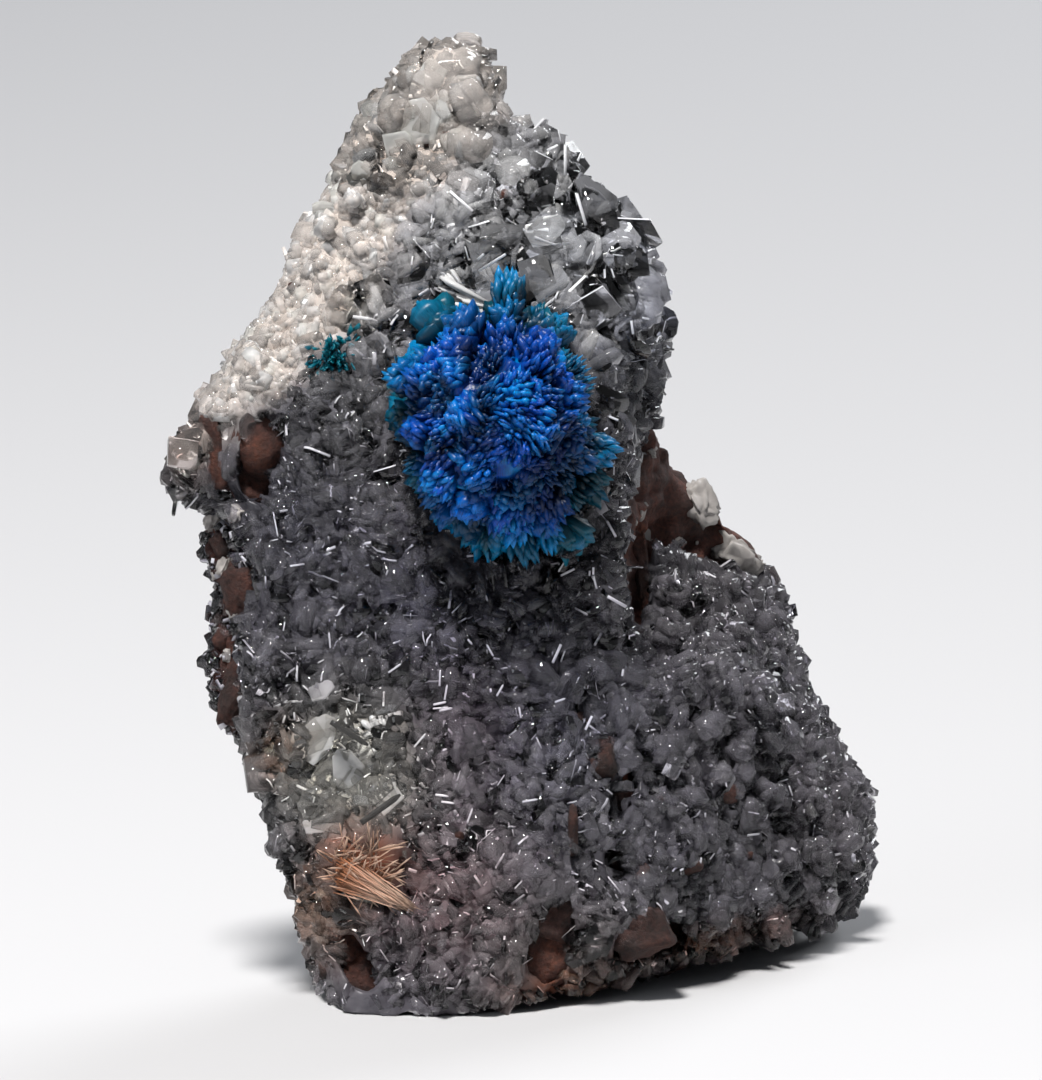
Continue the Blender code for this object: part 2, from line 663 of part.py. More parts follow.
def centre_on_base(items):
    """Moves the specimen so that the middle of its box stands on the origin."""
    for item in items:
        item.data.transform(Matrix.Translation((-BOX_MIDDLE[0] * MM, -BOX_MIDDLE[1] * MM, 0)))


def main():
    for item in list(bpy.data.objects):
        bpy.data.objects.remove(item)
    basalt = new_material("basalt", (0.16, 0.055, 0.035), 0.9)
    zeolite = new_material("zeolite", (0.78, 0.76, 0.76), 0.25)
    cavansite = new_material("cavansite", (0.005, 0.13, 0.55), 0.25)
    stilbite = new_material("stilbite", (0.80, 0.42, 0.27), 0.5)
    items = [
        *make_rock(basalt, zeolite),
        make_ball(cavansite),
        make_tuft(cavansite),
        make_sheaf(stilbite),
    ]
    centre_on_base(items)


main()
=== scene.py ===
"""The looks of the cavansite specimen: a druse of clear crystals on basalt that carries a blue rosette.

Shapes are worked out in millimetres in the frame of the solids, and new_piece turns them into metres.
"""

import math

import bmesh
import bpy
import numpy as np
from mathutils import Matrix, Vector
from mathutils.bvhtree import BVHTree


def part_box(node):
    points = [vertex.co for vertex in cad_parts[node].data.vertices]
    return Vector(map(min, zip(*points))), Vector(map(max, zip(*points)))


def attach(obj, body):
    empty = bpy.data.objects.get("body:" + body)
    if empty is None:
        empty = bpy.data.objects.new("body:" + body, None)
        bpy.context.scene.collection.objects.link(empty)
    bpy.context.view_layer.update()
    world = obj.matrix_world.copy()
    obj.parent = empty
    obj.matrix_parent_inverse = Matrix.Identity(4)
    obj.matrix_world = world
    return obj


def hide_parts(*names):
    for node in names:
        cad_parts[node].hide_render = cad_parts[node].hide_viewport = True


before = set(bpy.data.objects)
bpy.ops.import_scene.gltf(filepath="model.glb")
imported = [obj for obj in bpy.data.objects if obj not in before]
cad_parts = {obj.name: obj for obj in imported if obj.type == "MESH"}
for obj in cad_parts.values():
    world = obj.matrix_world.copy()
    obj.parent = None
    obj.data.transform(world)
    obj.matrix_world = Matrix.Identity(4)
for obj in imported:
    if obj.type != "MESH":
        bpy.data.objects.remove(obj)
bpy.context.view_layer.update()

MM = 0.001

# The setting: a pale table, soft light from above with one smaller lamp that makes the facets glint,
# and a long lens that looks down a little on the upright specimen.
CAMERA_ELEVATION = math.radians(10)
CAMERA_DISTANCE = 500.0
CAMERA_AIM = np.array([-0.20, -4.54, 20.86])
PHOTO_SIZE = (1042, 1080)
LENS_PIXELS = 11000.0  # focal length, in pixels of the photo
SENSOR = 36.0

camera_forward = np.array([0, math.cos(CAMERA_ELEVATION), -math.sin(CAMERA_ELEVATION)])
camera_up = np.array([0, math.sin(CAMERA_ELEVATION), math.cos(CAMERA_ELEVATION)])
camera_right = np.array([1.0, 0, 0])
camera_place = CAMERA_AIM - camera_forward * CAMERA_DISTANCE
camera_data = bpy.data.cameras.new("camera")
camera_data.sensor_width = SENSOR
camera_data.lens = LENS_PIXELS / max(PHOTO_SIZE) * SENSOR
camera_data.clip_start = 0.01
camera_data.clip_end = 20
camera = bpy.data.objects.new("camera", camera_data)
camera.location = camera_place * MM
camera.rotation_euler = (math.pi / 2 - CAMERA_ELEVATION, 0, 0)
bpy.context.scene.collection.objects.link(camera)
bpy.context.scene.camera = camera
bpy.context.scene.view_settings.view_transform = "Standard"
light_paths = bpy.context.scene.cycles
light_paths.max_bounces = 4
light_paths.transmission_bounces = 3
light_paths.glossy_bounces = 2
light_paths.diffuse_bounces = 1
light_paths.caustics_reflective = False
light_paths.caustics_refractive = False
light_paths.use_light_tree = False


def lamp(name, place, aim, size, power, colour):
    """An area light at a place, turned towards the point that it lights. Lengths are in metres."""
    data = bpy.data.lights.new(name, "AREA")
    data.shape = "DISK"
    data.size = size
    data.energy = power
    data.color = colour
    item = bpy.data.objects.new(name, data)
    item.location = place
    item.rotation_mode = "QUATERNION"
    item.rotation_quaternion = (Vector(aim) - Vector(place)).to_track_quat("-Z", "Y")
    bpy.context.scene.collection.objects.link(item)


LIT_POINT = (0.0, 0.0, 0.022)
lamp("key_lamp", (-0.07, -0.17, 0.46), LIT_POINT, 0.09, 3.1, (1.0, 0.98, 0.96))
lamp("left_fill", (-0.45, -0.40, 0.30), LIT_POINT, 0.30, 0.6, (0.93, 0.96, 1.0))
lamp("back_fill", (0.30, 0.55, 0.45), LIT_POINT, 0.35, 2.6, (0.95, 0.97, 1.0))


def feed(tree, item, inputs):
    """Sets a node's inputs by name or number: to another node's output, or to a plain value."""
    for name, value in inputs.items():
        if isinstance(value, bpy.types.NodeSocket):
            tree.links.new(value, item.inputs[name])
        else:
            item.inputs[name].default_value = value


def added(tree, kind, result, inputs, **settings):
    """Adds a shader node with its settings and inputs, and gives back its output of the name in result."""
    item = tree.nodes.new("ShaderNode" + kind)
    for name, value in settings.items():
        setattr(item, name, value)
    feed(tree, item, inputs)
    return item.outputs[result]


# The sky casts less light than it shows, and crystals pass on and mirror their own shares of what it shows.
SKY_SEEN = (0.72, 0.73, 0.75, 1)  # what the camera sees past the table
SKY_LIGHT = (0.085, 0.09, 0.10, 1)  # what lights the table and the specimen
SKY_THROUGH = 0.6  # how much of the seen sky shows through clear crystal
SKY_MIRRORED = 0.25  # and how much of it the facets mirror
world = bpy.data.worlds.new("studio")
world.use_nodes = True
world_tree = world.node_tree
ray_kinds = world_tree.nodes.new("ShaderNodeLightPath").outputs
sky_share = ray_kinds["Is Camera Ray"]
for ray, amount in (("Is Transmission Ray", SKY_THROUGH), ("Is Glossy Ray", SKY_MIRRORED)):
    part = added(world_tree, "Math", "Value", {0: ray_kinds[ray], 1: amount}, operation="MULTIPLY")
    sky_share = added(world_tree, "Math", "Value", {0: sky_share, 1: part}, operation="MAXIMUM")
sky_mix = {"Factor": sky_share, "A": SKY_LIGHT, "B": SKY_SEEN}
sky = added(world_tree, "Mix", "Result", sky_mix, data_type="RGBA")
feed(world_tree, world_tree.nodes["Background"], {"Color": sky})
bpy.context.scene.world = world

FLOOR_HALF = 3.0
floor_mesh = bpy.data.meshes.new("floor")
floor_mesh.from_pydata(
    [(-FLOOR_HALF, -FLOOR_HALF, 0), (FLOOR_HALF, -FLOOR_HALF, 0),
     (FLOOR_HALF, FLOOR_HALF, 0), (-FLOOR_HALF, FLOOR_HALF, 0)],
    [], [(0, 1, 2, 3)],
)
floor = bpy.data.objects.new("floor", floor_mesh)
bpy.context.scene.collection.objects.link(floor)
floor_material = bpy.data.materials.new("floor")
floor_material.use_nodes = True
floor_tree = floor_material.node_tree
floor_look = {"Base Color": (0.62, 0.62, 0.63, 1), "Roughness": 0.8}
feed(floor_tree, floor_tree.nodes["Principled BSDF"], floor_look)
floor_mesh.materials.append(floor_material)

# The zeolite crust's massive part: a cloudy grey layer of grown-together crystals, about 2 mm thick.
# It is the CAD crust in finer cells, with its surface crumpled, and every crystal of the druse roots in it.
CELL = 0.26
LATTICE = 61
STAINS_AND_PAINTED_SHADE = (
    # x and z of the middle, half width and half height, colour, strength
    (-0.6, 34.2, 5.8, 5.2, (0.62, 0.63, 0.65), 0.85),
    (-3.8, 40.6, 2.6, 2.6, (0.74, 0.71, 0.67), 0.9),
    (-1.4, 36.8, 3.0, 2.4, (0.72, 0.72, 0.74), 0.85),
    (1.4, 34.4, 2.2, 2.6, (0.54, 0.55, 0.58), 0.8),
    (4.8, 29.5, 2.4, 5.4, (0.10, 0.105, 0.12), 0.85),
    (-8.4, 31.8, 1.5, 1.4, (0.50, 0.46, 0.36), 0.7),
    (-15.4, 25.4, 1.2, 1.5, (0.72, 0.62, 0.58), 0.95),
    (-8.4, 28.0, 3.0, 3.4, (0.44, 0.44, 0.46), 0.75),
    (-10.4, 22.0, 3.2, 4.4, (0.085, 0.085, 0.098), 0.85),
    # below the rosette: darker crystals, with the rosette's shadow painted in over them
    (-3.8, 18.6, 4.8, 3.6, (0.06, 0.06, 0.075), 0.9),
    (1.5, 14.0, 5.0, 4.6, (0.105, 0.105, 0.13), 0.7),
    (-8.0, 11.0, 3.2, 2.7, (0.92, 0.90, 0.84), 0.93),
    (-3.0, 12.6, 2.4, 3.0, (0.19, 0.165, 0.19), 0.7),
    (-3.6, 5.4, 3.4, 3.2, (0.23, 0.175, 0.18), 0.8),
    (8.0, 17.0, 4.2, 3.2, (0.095, 0.09, 0.095), 0.8),
    (9.7, 11.2, 4.2, 3.4, (0.095, 0.092, 0.102), 0.8),
    (14.0, 6.2, 2.8, 4.4, (0.10, 0.095, 0.102), 0.8),
    (1.6, 2.4, 3.4, 2.4, (0.20, 0.175, 0.165), 0.7),
    (-7.3, 6.9, 1.6, 1.5, (0.50, 0.20, 0.10), 0.75),
    (-9.2, 4.4, 1.6, 2.2, (0.42, 0.30, 0.23), 0.7),
    (-11.2, 11.6, 0.8, 1.2, (0.42, 0.22, 0.12), 0.6),
    (2.0, 1.0, 2.6, 0.7, (0.30, 0.13, 0.07), 0.7),
    (8.0, 2.0, 3.6, 0.7, (0.32, 0.14, 0.07), 0.7),
)
STONE_GREY = (0.178, 0.174, 0.192)
RIDGE_CREAM = (0.62, 0.58, 0.55)
RIDGE_FOOT = (-14.4, 26.6)  # x and z
RIDGE_HEAD = (-2.0, 42.0)
PAINTED_GLINT_SHARE = 0.13  # this share of the plates' thin sides is painted white, as painted glints
TABLE_GAP = 0.02  # no piece comes nearer to the table than this


def lumps(points, size, seed):
    """Smooth noise from -1 to 1 with bumps of the given size.

    Random values sit on a cubic lattice, and a point takes the mean of its eight nearest corners, weighted
    along each axis by 3t² - 2t³.
    """
    table = np.random.default_rng(seed).uniform(-1, 1, (LATTICE, LATTICE, LATTICE))
    cell = points / size
    low = np.floor(cell).astype(int)
    share = cell - low
    share = share * share * (3 - 2 * share)
    total = np.zeros(len(points))
    for corner in np.ndindex(2, 2, 2):
        weight = np.where(np.array(corner) == 1, share, 1 - share).prod(axis=1)
        x, y, z = ((low + np.array(corner)) % LATTICE).T
        total += weight * table[x, y, z]
    return total


def smooth_step(value, low, high):
    """Rises smoothly from 0 at low to 1 at high."""
    share = np.clip((value - low) / (high - low), 0, 1)
    return share * share * (3 - 2 * share)


def ridge_share(points):
    """How much a point belongs to the pale ridge.

    It is 1 along the line that joins the ridge's foot and head, and 0 some millimetres below it to the right.
    """
    foot = np.array(RIDGE_FOOT)
    run = np.array(RIDGE_HEAD) - foot
    run = run / np.linalg.norm(run)
    away = (points[:, 0] - foot[0]) * run[1] - (points[:, 2] - foot[1]) * run[0]
    away = away + 0.9 * lumps(points, 2.2, 31) + 0.5 * lumps(points, 0.8, 32)
    return (1 - smooth_step(away, 0.6, 3.0)) * smooth_step(points[:, 2], 24.0, 28.0)


def stained_and_shaded(points):
    """The crust's colour at each point: grey, changed by soft round stains, one of them partly a painted
    shadow below the rosette, and by the cream ridge.
    """
    colour = np.tile(np.array(STONE_GREY), (len(points), 1))
    for x, z, half_width, half_height, patch_colour, strength in STAINS_AND_PAINTED_SHADE:
        off = ((points[:, 0] - x) / half_width) ** 2 + ((points[:, 2] - z) / half_height) ** 2
        share = (strength * np.exp(-off))[:, None]
        colour = colour * (1 - share) + np.array(patch_colour) * share
    share = ridge_share(points)[:, None]
    colour = colour * (1 - share) + np.array(RIDGE_CREAM) * share
    cloud = 1 + 0.16 * lumps(points, 1.5, 12) + 0.10 * lumps(points, 0.5, 13)
    return np.clip(colour * cloud[:, None], 0.01, 0.95)


def clear_tint(points):
    """The tint of clear crystals: the crust's colour with its stains and painted shadow, far paler."""
    colour = stained_and_shaded(points)
    light = colour.mean(axis=1, keepdims=True)
    hue = colour / light
    return np.clip(hue * (0.45 + 0.53 * light ** 0.7), 0, 0.96)


def new_piece(name, points, faces, material, tint=None, grain=None, edge=None):
    """A piece from arrays: points in millimetres, faces as arrays of like corner counts.

    tint is a colour for each point, and grain a flat place for each point, which becomes the UV map. edge is
    the white material of the painted glints, on the set share of the four-cornered faces, where it differs.
    """
    points = np.column_stack([points[:, :2], np.maximum(points[:, 2], TABLE_GAP)])
    mesh = bpy.data.meshes.new(name)
    corners = np.concatenate([face.ravel() for face in faces]).astype(np.int32)
    counts = np.concatenate([np.full(len(face), face.shape[1]) for face in faces])
    starts = np.concatenate([[0], np.cumsum(counts)[:-1]]).astype(np.int32)
    mesh.vertices.add(len(points))
    mesh.vertices.foreach_set("co", (points * MM).astype(np.float32).ravel())
    mesh.loops.add(len(corners))
    mesh.loops.foreach_set("vertex_index", corners)
    mesh.polygons.add(len(counts))
    mesh.polygons.foreach_set("loop_start", starts)
    mesh.update(calc_edges=True)
    if tint is not None:
        colours = np.column_stack([tint, np.ones(len(points))]).astype(np.float32)
        mesh.attributes.new("tint", "FLOAT_COLOR", "POINT").data.foreach_set("color", colours.ravel())
    if grain is not None:
        mesh.uv_layers.new(name="grain").data.foreach_set("uv", grain[corners].astype(np.float32).ravel())
    mesh.materials.append(material)
    if edge is not None:
        mesh.materials.append(edge)
        # painted glints: a random share of the four-cornered faces gets the white edge material
        drawn = np.random.default_rng(len(counts)).random(len(counts)) < PAINTED_GLINT_SHARE
        mesh.polygons.foreach_set("material_index", ((counts == 4) & drawn).astype(np.int32))
    piece = bpy.data.objects.new(name, mesh)
    bpy.context.scene.collection.objects.link(piece)
    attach(piece, "root")
    return piece


def finer_copy(node, cell, rounds):
    """Points and four-cornered faces of a CAD node in even cells.

    Its doubles are merged, it is meshed again by voxels, and its corners are eased.
    """
    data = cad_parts[node].data.copy()
    mesh = bmesh.new()
    mesh.from_mesh(data)
    bmesh.ops.remove_doubles(mesh, verts=mesh.verts, dist=1e-6)
    mesh.to_mesh(data)
    mesh.free()
    copy = bpy.data.objects.new(node + "_cells", data)
    bpy.context.scene.collection.objects.link(copy)
    remesh = copy.modifiers.new("cells", "REMESH")
    remesh.mode = "VOXEL"
    remesh.voxel_size = cell * MM
    ease = copy.modifiers.new("ease", "SMOOTH")
    ease.factor = 0.5
    ease.iterations = rounds
    made = copy.evaluated_get(bpy.context.evaluated_depsgraph_get()).to_mesh()
    points = np.empty(len(made.vertices) * 3, np.float32)
    made.vertices.foreach_get("co", points)
    faces = np.empty(len(made.polygons) * 4, np.int32)
    made.polygons.foreach_get("vertices", faces)
    bpy.data.objects.remove(copy)
    return points.reshape(-1, 3).astype(float) / MM, faces.reshape(-1, 4)


def outward(points, faces):
    """The direction out of the surface at each point: the mean of its faces' own directions."""
    a, b, c, d = (points[faces[:, i]] for i in range(4))
    across = np.cross(c - a, d - b)
    total = np.zeros_like(points)
    for i in range(4):
        np.add.at(total, faces[:, i], across)
    return total / np.maximum(np.linalg.norm(total, axis=1, keepdims=True), 1e-12)


def tree_of(points, faces):
    """A search tree of a surface, in millimetres."""
    return BVHTree.FromPolygons(points.tolist(), faces.tolist())


crust_points, crust_faces = finer_copy("zeolite_crust", CELL, 4)
crust_out = outward(crust_points, crust_faces)
crumple = 0.16 * lumps(crust_points, 1.3, 1) + 0.10 * lumps(crust_points, 0.45, 2) - 0.10
crust_points = crust_points + crust_out * crumple[:, None]
crust_points[:, 2] = np.maximum(crust_points[:, 2], 0.0)
crust_tree = tree_of(crust_points, crust_faces)
crust_colour = np.clip(1.4 * stained_and_shaded(crust_points) ** 1.8, 0, 0.85)

VEIL_SCALE = 1500.0  # how many veils cross a metre
VEIL_ROUGHNESS = 0.12  # how much rougher a crystal is where a veil comes to its surface


def socket(group, direction, kind, name, value=None):
    """One named socket of a node group."""
    made = group.interface.new_socket(name, in_out=direction, socket_type=kind)
    if value is not None:
        made.default_value = value


def cloud_group():
    """Cloudy crystal, once for every zeolite material: veils of tiny cracks, as a mask from 0 to 1."""
    group = bpy.data.node_groups.new("crystal_clouds", "ShaderNodeTree")
    socket(group, "INPUT", "NodeSocketVector", "Place")
    socket(group, "INPUT", "NodeSocketFloat", "Size", VEIL_SCALE)
    socket(group, "INPUT", "NodeSocketFloat", "Fineness", 2.0)
    socket(group, "OUTPUT", "NodeSocketFloat", "Veil")
    given = group.nodes.new("NodeGroupInput").outputs
    noise = {"Vector": given["Place"], "Scale": given["Size"], "Detail": given["Fineness"], "Roughness": 0.62}
    veil = added(group, "TexNoise", "Fac", noise)
    sharper = added(group, "MapRange", "Result", {"Value": veil, "From Min": 0.40, "From Max": 0.68})
    feed(group, group.nodes.new("NodeGroupOutput"), {"Veil": sharper})
    return group


clouds = cloud_group()


def new_material(name):
    """An empty material, its node tree and its Principled shader."""
    material = bpy.data.materials.new(name)
    material.use_nodes = True
    return material, material.node_tree, material.node_tree.nodes["Principled BSDF"]


def crystal_material(name, transmission, roughness, veil, fineness, refraction=1.3):
    """Zeolite: see-through by plain transmission, tinted by the piece's own colours, and clouded by veils.

    veil is how much the veils whiten the crystal, and fineness how finely they are broken up. refraction is
    below a lone crystal's 1.5 where the crystals have grown into each other with no air between.
    """
    material, tree, shader = new_material(name)
    tint = added(tree, "Attribute", "Color", {}, attribute_name="tint")
    place = added(tree, "TexCoord", "Object", {})
    veils = {"Place": place, "Size": VEIL_SCALE, "Fineness": fineness}
    cloud = added(tree, "Group", "Veil", veils, node_tree=clouds)
    pale = added(tree, "Gamma", "Color", {"Color": tint, "Gamma": 0.55})
    amount = added(tree, "Math", "Value", {0: cloud, 1: veil}, operation="MULTIPLY")
    whiter = added(tree, "Mix", "Result", {"Factor": amount, "A": tint, "B": pale}, data_type="RGBA")
    roughnesses = {"Value": cloud, "To Min": roughness, "To Max": roughness + VEIL_ROUGHNESS}
    gloss = added(tree, "MapRange", "Result", roughnesses)
    feed(tree, shader, {
        "Base Color": whiter, "Roughness": gloss, "Transmission Weight": transmission, "IOR": refraction,
        "Metallic": 0.0,
    })
    return material


crust_material = crystal_material("massive_zeolite", 0.0, 0.25, 0.25, 4.0)
crust_body = new_piece(
    "crust_body", crust_points, [crust_faces], crust_material, tint=crust_colour,
)
crust_body.data.shade_smooth()
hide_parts("zeolite_crust")

# The basalt: broken red-brown lava rock, rough and dull, with cream fillings in its old gas bubbles.
# It is the CAD basalt in finer cells, broken up into ledges and grains.
BASALT_CELL = 0.26
ROCK_NOISES = ((420.0, 6.0, 0.65), (5200.0, 4.0, 0.5), (1900.0, 6.0, 0.7))  # blotches, grains, crumbs
ROCK_COLOURS = (  # from the darkest blotches to rust
    (0.30, (0.012, 0.007, 0.006)), (0.48, (0.055, 0.018, 0.012)), (0.60, (0.10, 0.030, 0.018)),
    (0.74, (0.20, 0.062, 0.028)),
)
basalt_points, basalt_faces = finer_copy("basalt_matrix", BASALT_CELL, 2)
basalt_out = outward(basalt_points, basalt_faces)
ledge_height = lumps(basalt_points, 3.4, 41) * 3
ledge = np.floor(ledge_height) + smooth_step(ledge_height - np.floor(ledge_height), 0.72, 1.0)
broken = 0.22 * ledge + 0.28 * lumps(basalt_points, 1.4, 42) + 0.30 * lumps(basalt_points, 0.65, 43)
pits = np.maximum(lumps(basalt_points, 1.0, 44) - 0.35, 0) * 1.1
basalt_points = basalt_points + basalt_out * (broken - pits - 0.14)[:, None]
basalt_points[:, 2] = np.maximum(basalt_points[:, 2], 0.0)
basalt_tree = tree_of(basalt_points, basalt_faces)


def basalt_material(name, light):
    """Weathered basalt: dark red-brown, blotched with rust and near-black, grainy and dull.

    light is how light it is, as a share of the weathered outside's.
    """
    material, tree, shader = new_material(name)
    place = added(tree, "TexCoord", "Object", {})
    blotch, grain, crumb = (
        added(tree, "TexNoise", "Fac", {"Vector": place, "Scale": size, "Detail": detail, "Roughness": rough})
        for size, detail, rough in ROCK_NOISES
    )
    colours = added(tree, "ValToRGB", "Color", {"Fac": blotch})
    stops = colours.node.color_ramp.elements
    while len(stops) < len(ROCK_COLOURS):
        stops.new(1.0)
    for stop, (position, colour) in zip(stops, ROCK_COLOURS):
        stop.position = position
        stop.color = (*colour, 1)
    grains = added(tree, "MapRange", "Result", {
        "Value": grain, "From Min": 0.3, "From Max": 0.7, "To Min": 0.45 * light, "To Max": 1.35 * light,
    })
    shaded = added(tree, "Mix", "Result", {"Factor": 1.0, "A": colours, "B": grains},
                   data_type="RGBA", blend_type="MULTIPLY")
    bump = added(tree, "Bump", "Normal", {"Strength": 0.9, "Distance": 0.00030, "Height": crumb})
    feed(tree, shader, {"Base Color": shaded, "Roughness": 0.78, "Normal": bump})
    return material


rock_material = basalt_material("basalt_rock", 1.0)
basalt_body = new_piece("basalt_body", basalt_points, [basalt_faces], rock_material)
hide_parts("basalt_matrix")

# Chips of basalt that show through the druse, where the crust is thin or knocked off: dull red-brown rock,
# flush with the crystals round it.


def unit(vectors):
    """Vectors of length one in the same directions."""
    return vectors / np.maximum(np.linalg.norm(vectors, axis=-1, keepdims=True), 1e-9)


def seen_at(pixel, *trees):
    """Where the line of sight through a pixel of the photo first meets a surface, and the way out of it.

    A line that passes the specimen gets the nearest place on its rim.
    """
    right, down = np.array(pixel) - np.array(PHOTO_SIZE) / 2
    aim = camera_forward * LENS_PIXELS + camera_right * right + camera_up * -down
    hits = [tree.ray_cast(Vector(camera_place), Vector(unit(aim))) for tree in trees]
    hits = [hit for hit in hits if hit[0] is not None]
    if not hits:
        passing = camera_place + unit(aim) * CAMERA_DISTANCE
        hits = [tree.find_nearest(Vector(passing)) for tree in trees]
    nearest = min(hits, key=lambda hit: hit[3])
    return np.array(nearest[0]), np.array(nearest[1])


def ball_grid(rows, columns):
    """Directions over a sphere in rows and columns, closed by a point at each pole, and the faces between."""
    dip = np.pi * (np.arange(rows) + 1) / (rows + 1)
    turn = 2 * np.pi * np.arange(columns) / columns
    dip, turn = (array.ravel() for array in np.meshgrid(dip, turn, indexing="ij"))
    body = np.column_stack([np.sin(dip) * np.cos(turn), np.sin(dip) * np.sin(turn), np.cos(dip)])
    directions = np.concatenate([body, [(0, 0, 1.0), (0, 0, -1.0)]])
    row, column = np.divmod(np.arange((rows - 1) * columns), columns)
    after = (column + 1) % columns
    low, high = row * columns, (row + 1) * columns
    quads = np.column_stack([low + column, high + column, high + after, low + after])
    step = np.arange(columns)
    after = (step + 1) % columns
    north, south, last = rows * columns, rows * columns + 1, (rows - 1) * columns
    caps = np.concatenate([
        np.column_stack([np.full(columns, north), step, after]),
        np.column_stack([np.full(columns, south), last + after, last + step]),
    ])
    return directions, quads, caps


def lump(middle, out, width, height, depth, turn, rows, columns, broken, seed):
    """A lump set in a surface: a ball drawn out to its three sizes, made boxy, and broken by noise.

    Its width and height lie in the surface, turned by an angle in degrees, and its depth along the way out.
    """
    directions, quads, caps = ball_grid(rows, columns)
    boxy = np.sign(directions) * np.abs(directions) ** 0.62
    right = unit(np.cross(np.array([0.0, 0, 1]), out))
    up = np.cross(out, right)
    right, up = turned(right, up, np.array(math.radians(turn)))
    place = boxy * np.array([width, height, depth]) / 2
    spot = directions * 2 + 9
    rough = 1 + broken * lumps(spot, 1.0, seed) + 0.6 * broken * lumps(spot, 0.42, seed + 1)
    points = middle + (place * rough[:, None]) @ np.array([right, up, out])
    return points, [quads, caps]


def turned(first, second, angle):
    """A pair of directions at right angles, turned in their own plane."""
    c, s = np.cos(angle)[..., None], np.sin(angle)[..., None]
    return first * c + second * s, second * c - first * s


def joined(parts):
    """One set of arrays from several: points, lists of faces, and what else has a row for each point."""
    points, faces, *others = zip(*parts)
    starts = np.cumsum([0] + [len(part) for part in points])
    faces = [face + start for start, part in zip(starts, faces) for face in part]
    return np.concatenate(points), faces, *(np.concatenate(other) for other in others)


CHIPS = (
    # middle in pixels of the photo, width and height in mm, turn in degrees, rise towards the front in mm
    ((558, 912), 2.0, 2.8, -18, 1.5), ((545, 956), 2.5, 3.0, -6, 1.5), ((636, 934), 3.1, 2.3, 16, 1.4),
    ((664, 952), 2.3, 1.8, 20, 1.4), ((350, 936), 1.2, 2.4, 6, 1.5), ((348, 964), 2.8, 2.0, 20, 1.5),
    ((367, 984), 1.7, 2.6, 12, 1.5), ((262, 438), 3.0, 3.6, -18, 1.4), ((253, 480), 2.3, 2.7, -10, 1.3),
    ((573, 830), 0.5, 2.2, 0, 0.5), ((576, 720), 0.9, 0.8, 0, 0.4), ((602, 762), 1.3, 1.7, 10, 0.4),
    ((618, 793), 1.3, 1.5, 25, 0.4), ((612, 868), 1.0, 2.2, -8, 0.6), ((640, 873), 0.7, 0.9, 0, 0.4),
    ((686, 865), 1.3, 0.9, 20, 0.4), ((726, 795), 1.0, 1.1, 0, 0.4), ((598, 233), 0.5, 1.4, -5, 0.4),
    ((505, 195), 0.4, 0.5, 0, 0.5), ((446, 137), 0.4, 0.4, 0, 0.5), ((426, 143), 0.3, 0.4, 0, 0.5),
    ((321, 217), 0.35, 0.45, 0, 0.3), ((285, 283), 0.4, 0.4, 0, 0.3), ((374, 121), 0.4, 0.4, 0, 0.3),
    ((640, 580), 0.8, 4.6, 4, 0.4), ((240, 588), 1.7, 2.2, 10, 0.3), ((214, 450), 1.0, 3.6, 12, 0.2),
    ((234, 690), 1.1, 3.2, -12, 0.3), ((460, 835), 0.4, 0.3, 0, 0.6), ((745, 855), 0.5, 0.4, 0, 0.5),
    ((660, 800), 0.3, 0.3, 0, 0.5), ((590, 985), 2.4, 0.5, 12, 0.2), ((222, 545), 0.9, 1.2, 30, 0.3),
    ((402, 860), 0.3, 0.3, 0, 0.6), ((225, 640), 0.8, 1.0, -20, 0.3),
)
CHIP_DEPTH = 1.5
CHIP_CLEARING = 0.9  # the crystals stop at this share of its size
CHIP_BROKEN = 0.15  # how rough a chip's broken face is, as a share of its size
chip_parts, chip_places = [], []
for index, (pixel, width, height, turn, rise) in enumerate(CHIPS):
    middle, out = seen_at(pixel, crust_tree, basalt_tree)
    out = unit(unit(out) - camera_forward)
    rows, columns = (20, 30) if width * height > 2 else (10, 16)
    depth = min(CHIP_DEPTH, 1.2 * min(width, height)) + rise
    middle = middle - camera_forward * (rise - 0.5 * depth)
    chip = lump(middle, out, width, height, depth, turn, rows, columns, CHIP_BROKEN, 100 + index)
    chip_parts.append(chip)
    chip_places.append((middle, width, height, math.radians(turn)))
points, faces = joined(chip_parts)
new_piece("basalt_chips", points, faces, basalt_material("basalt_chip", 0.6))

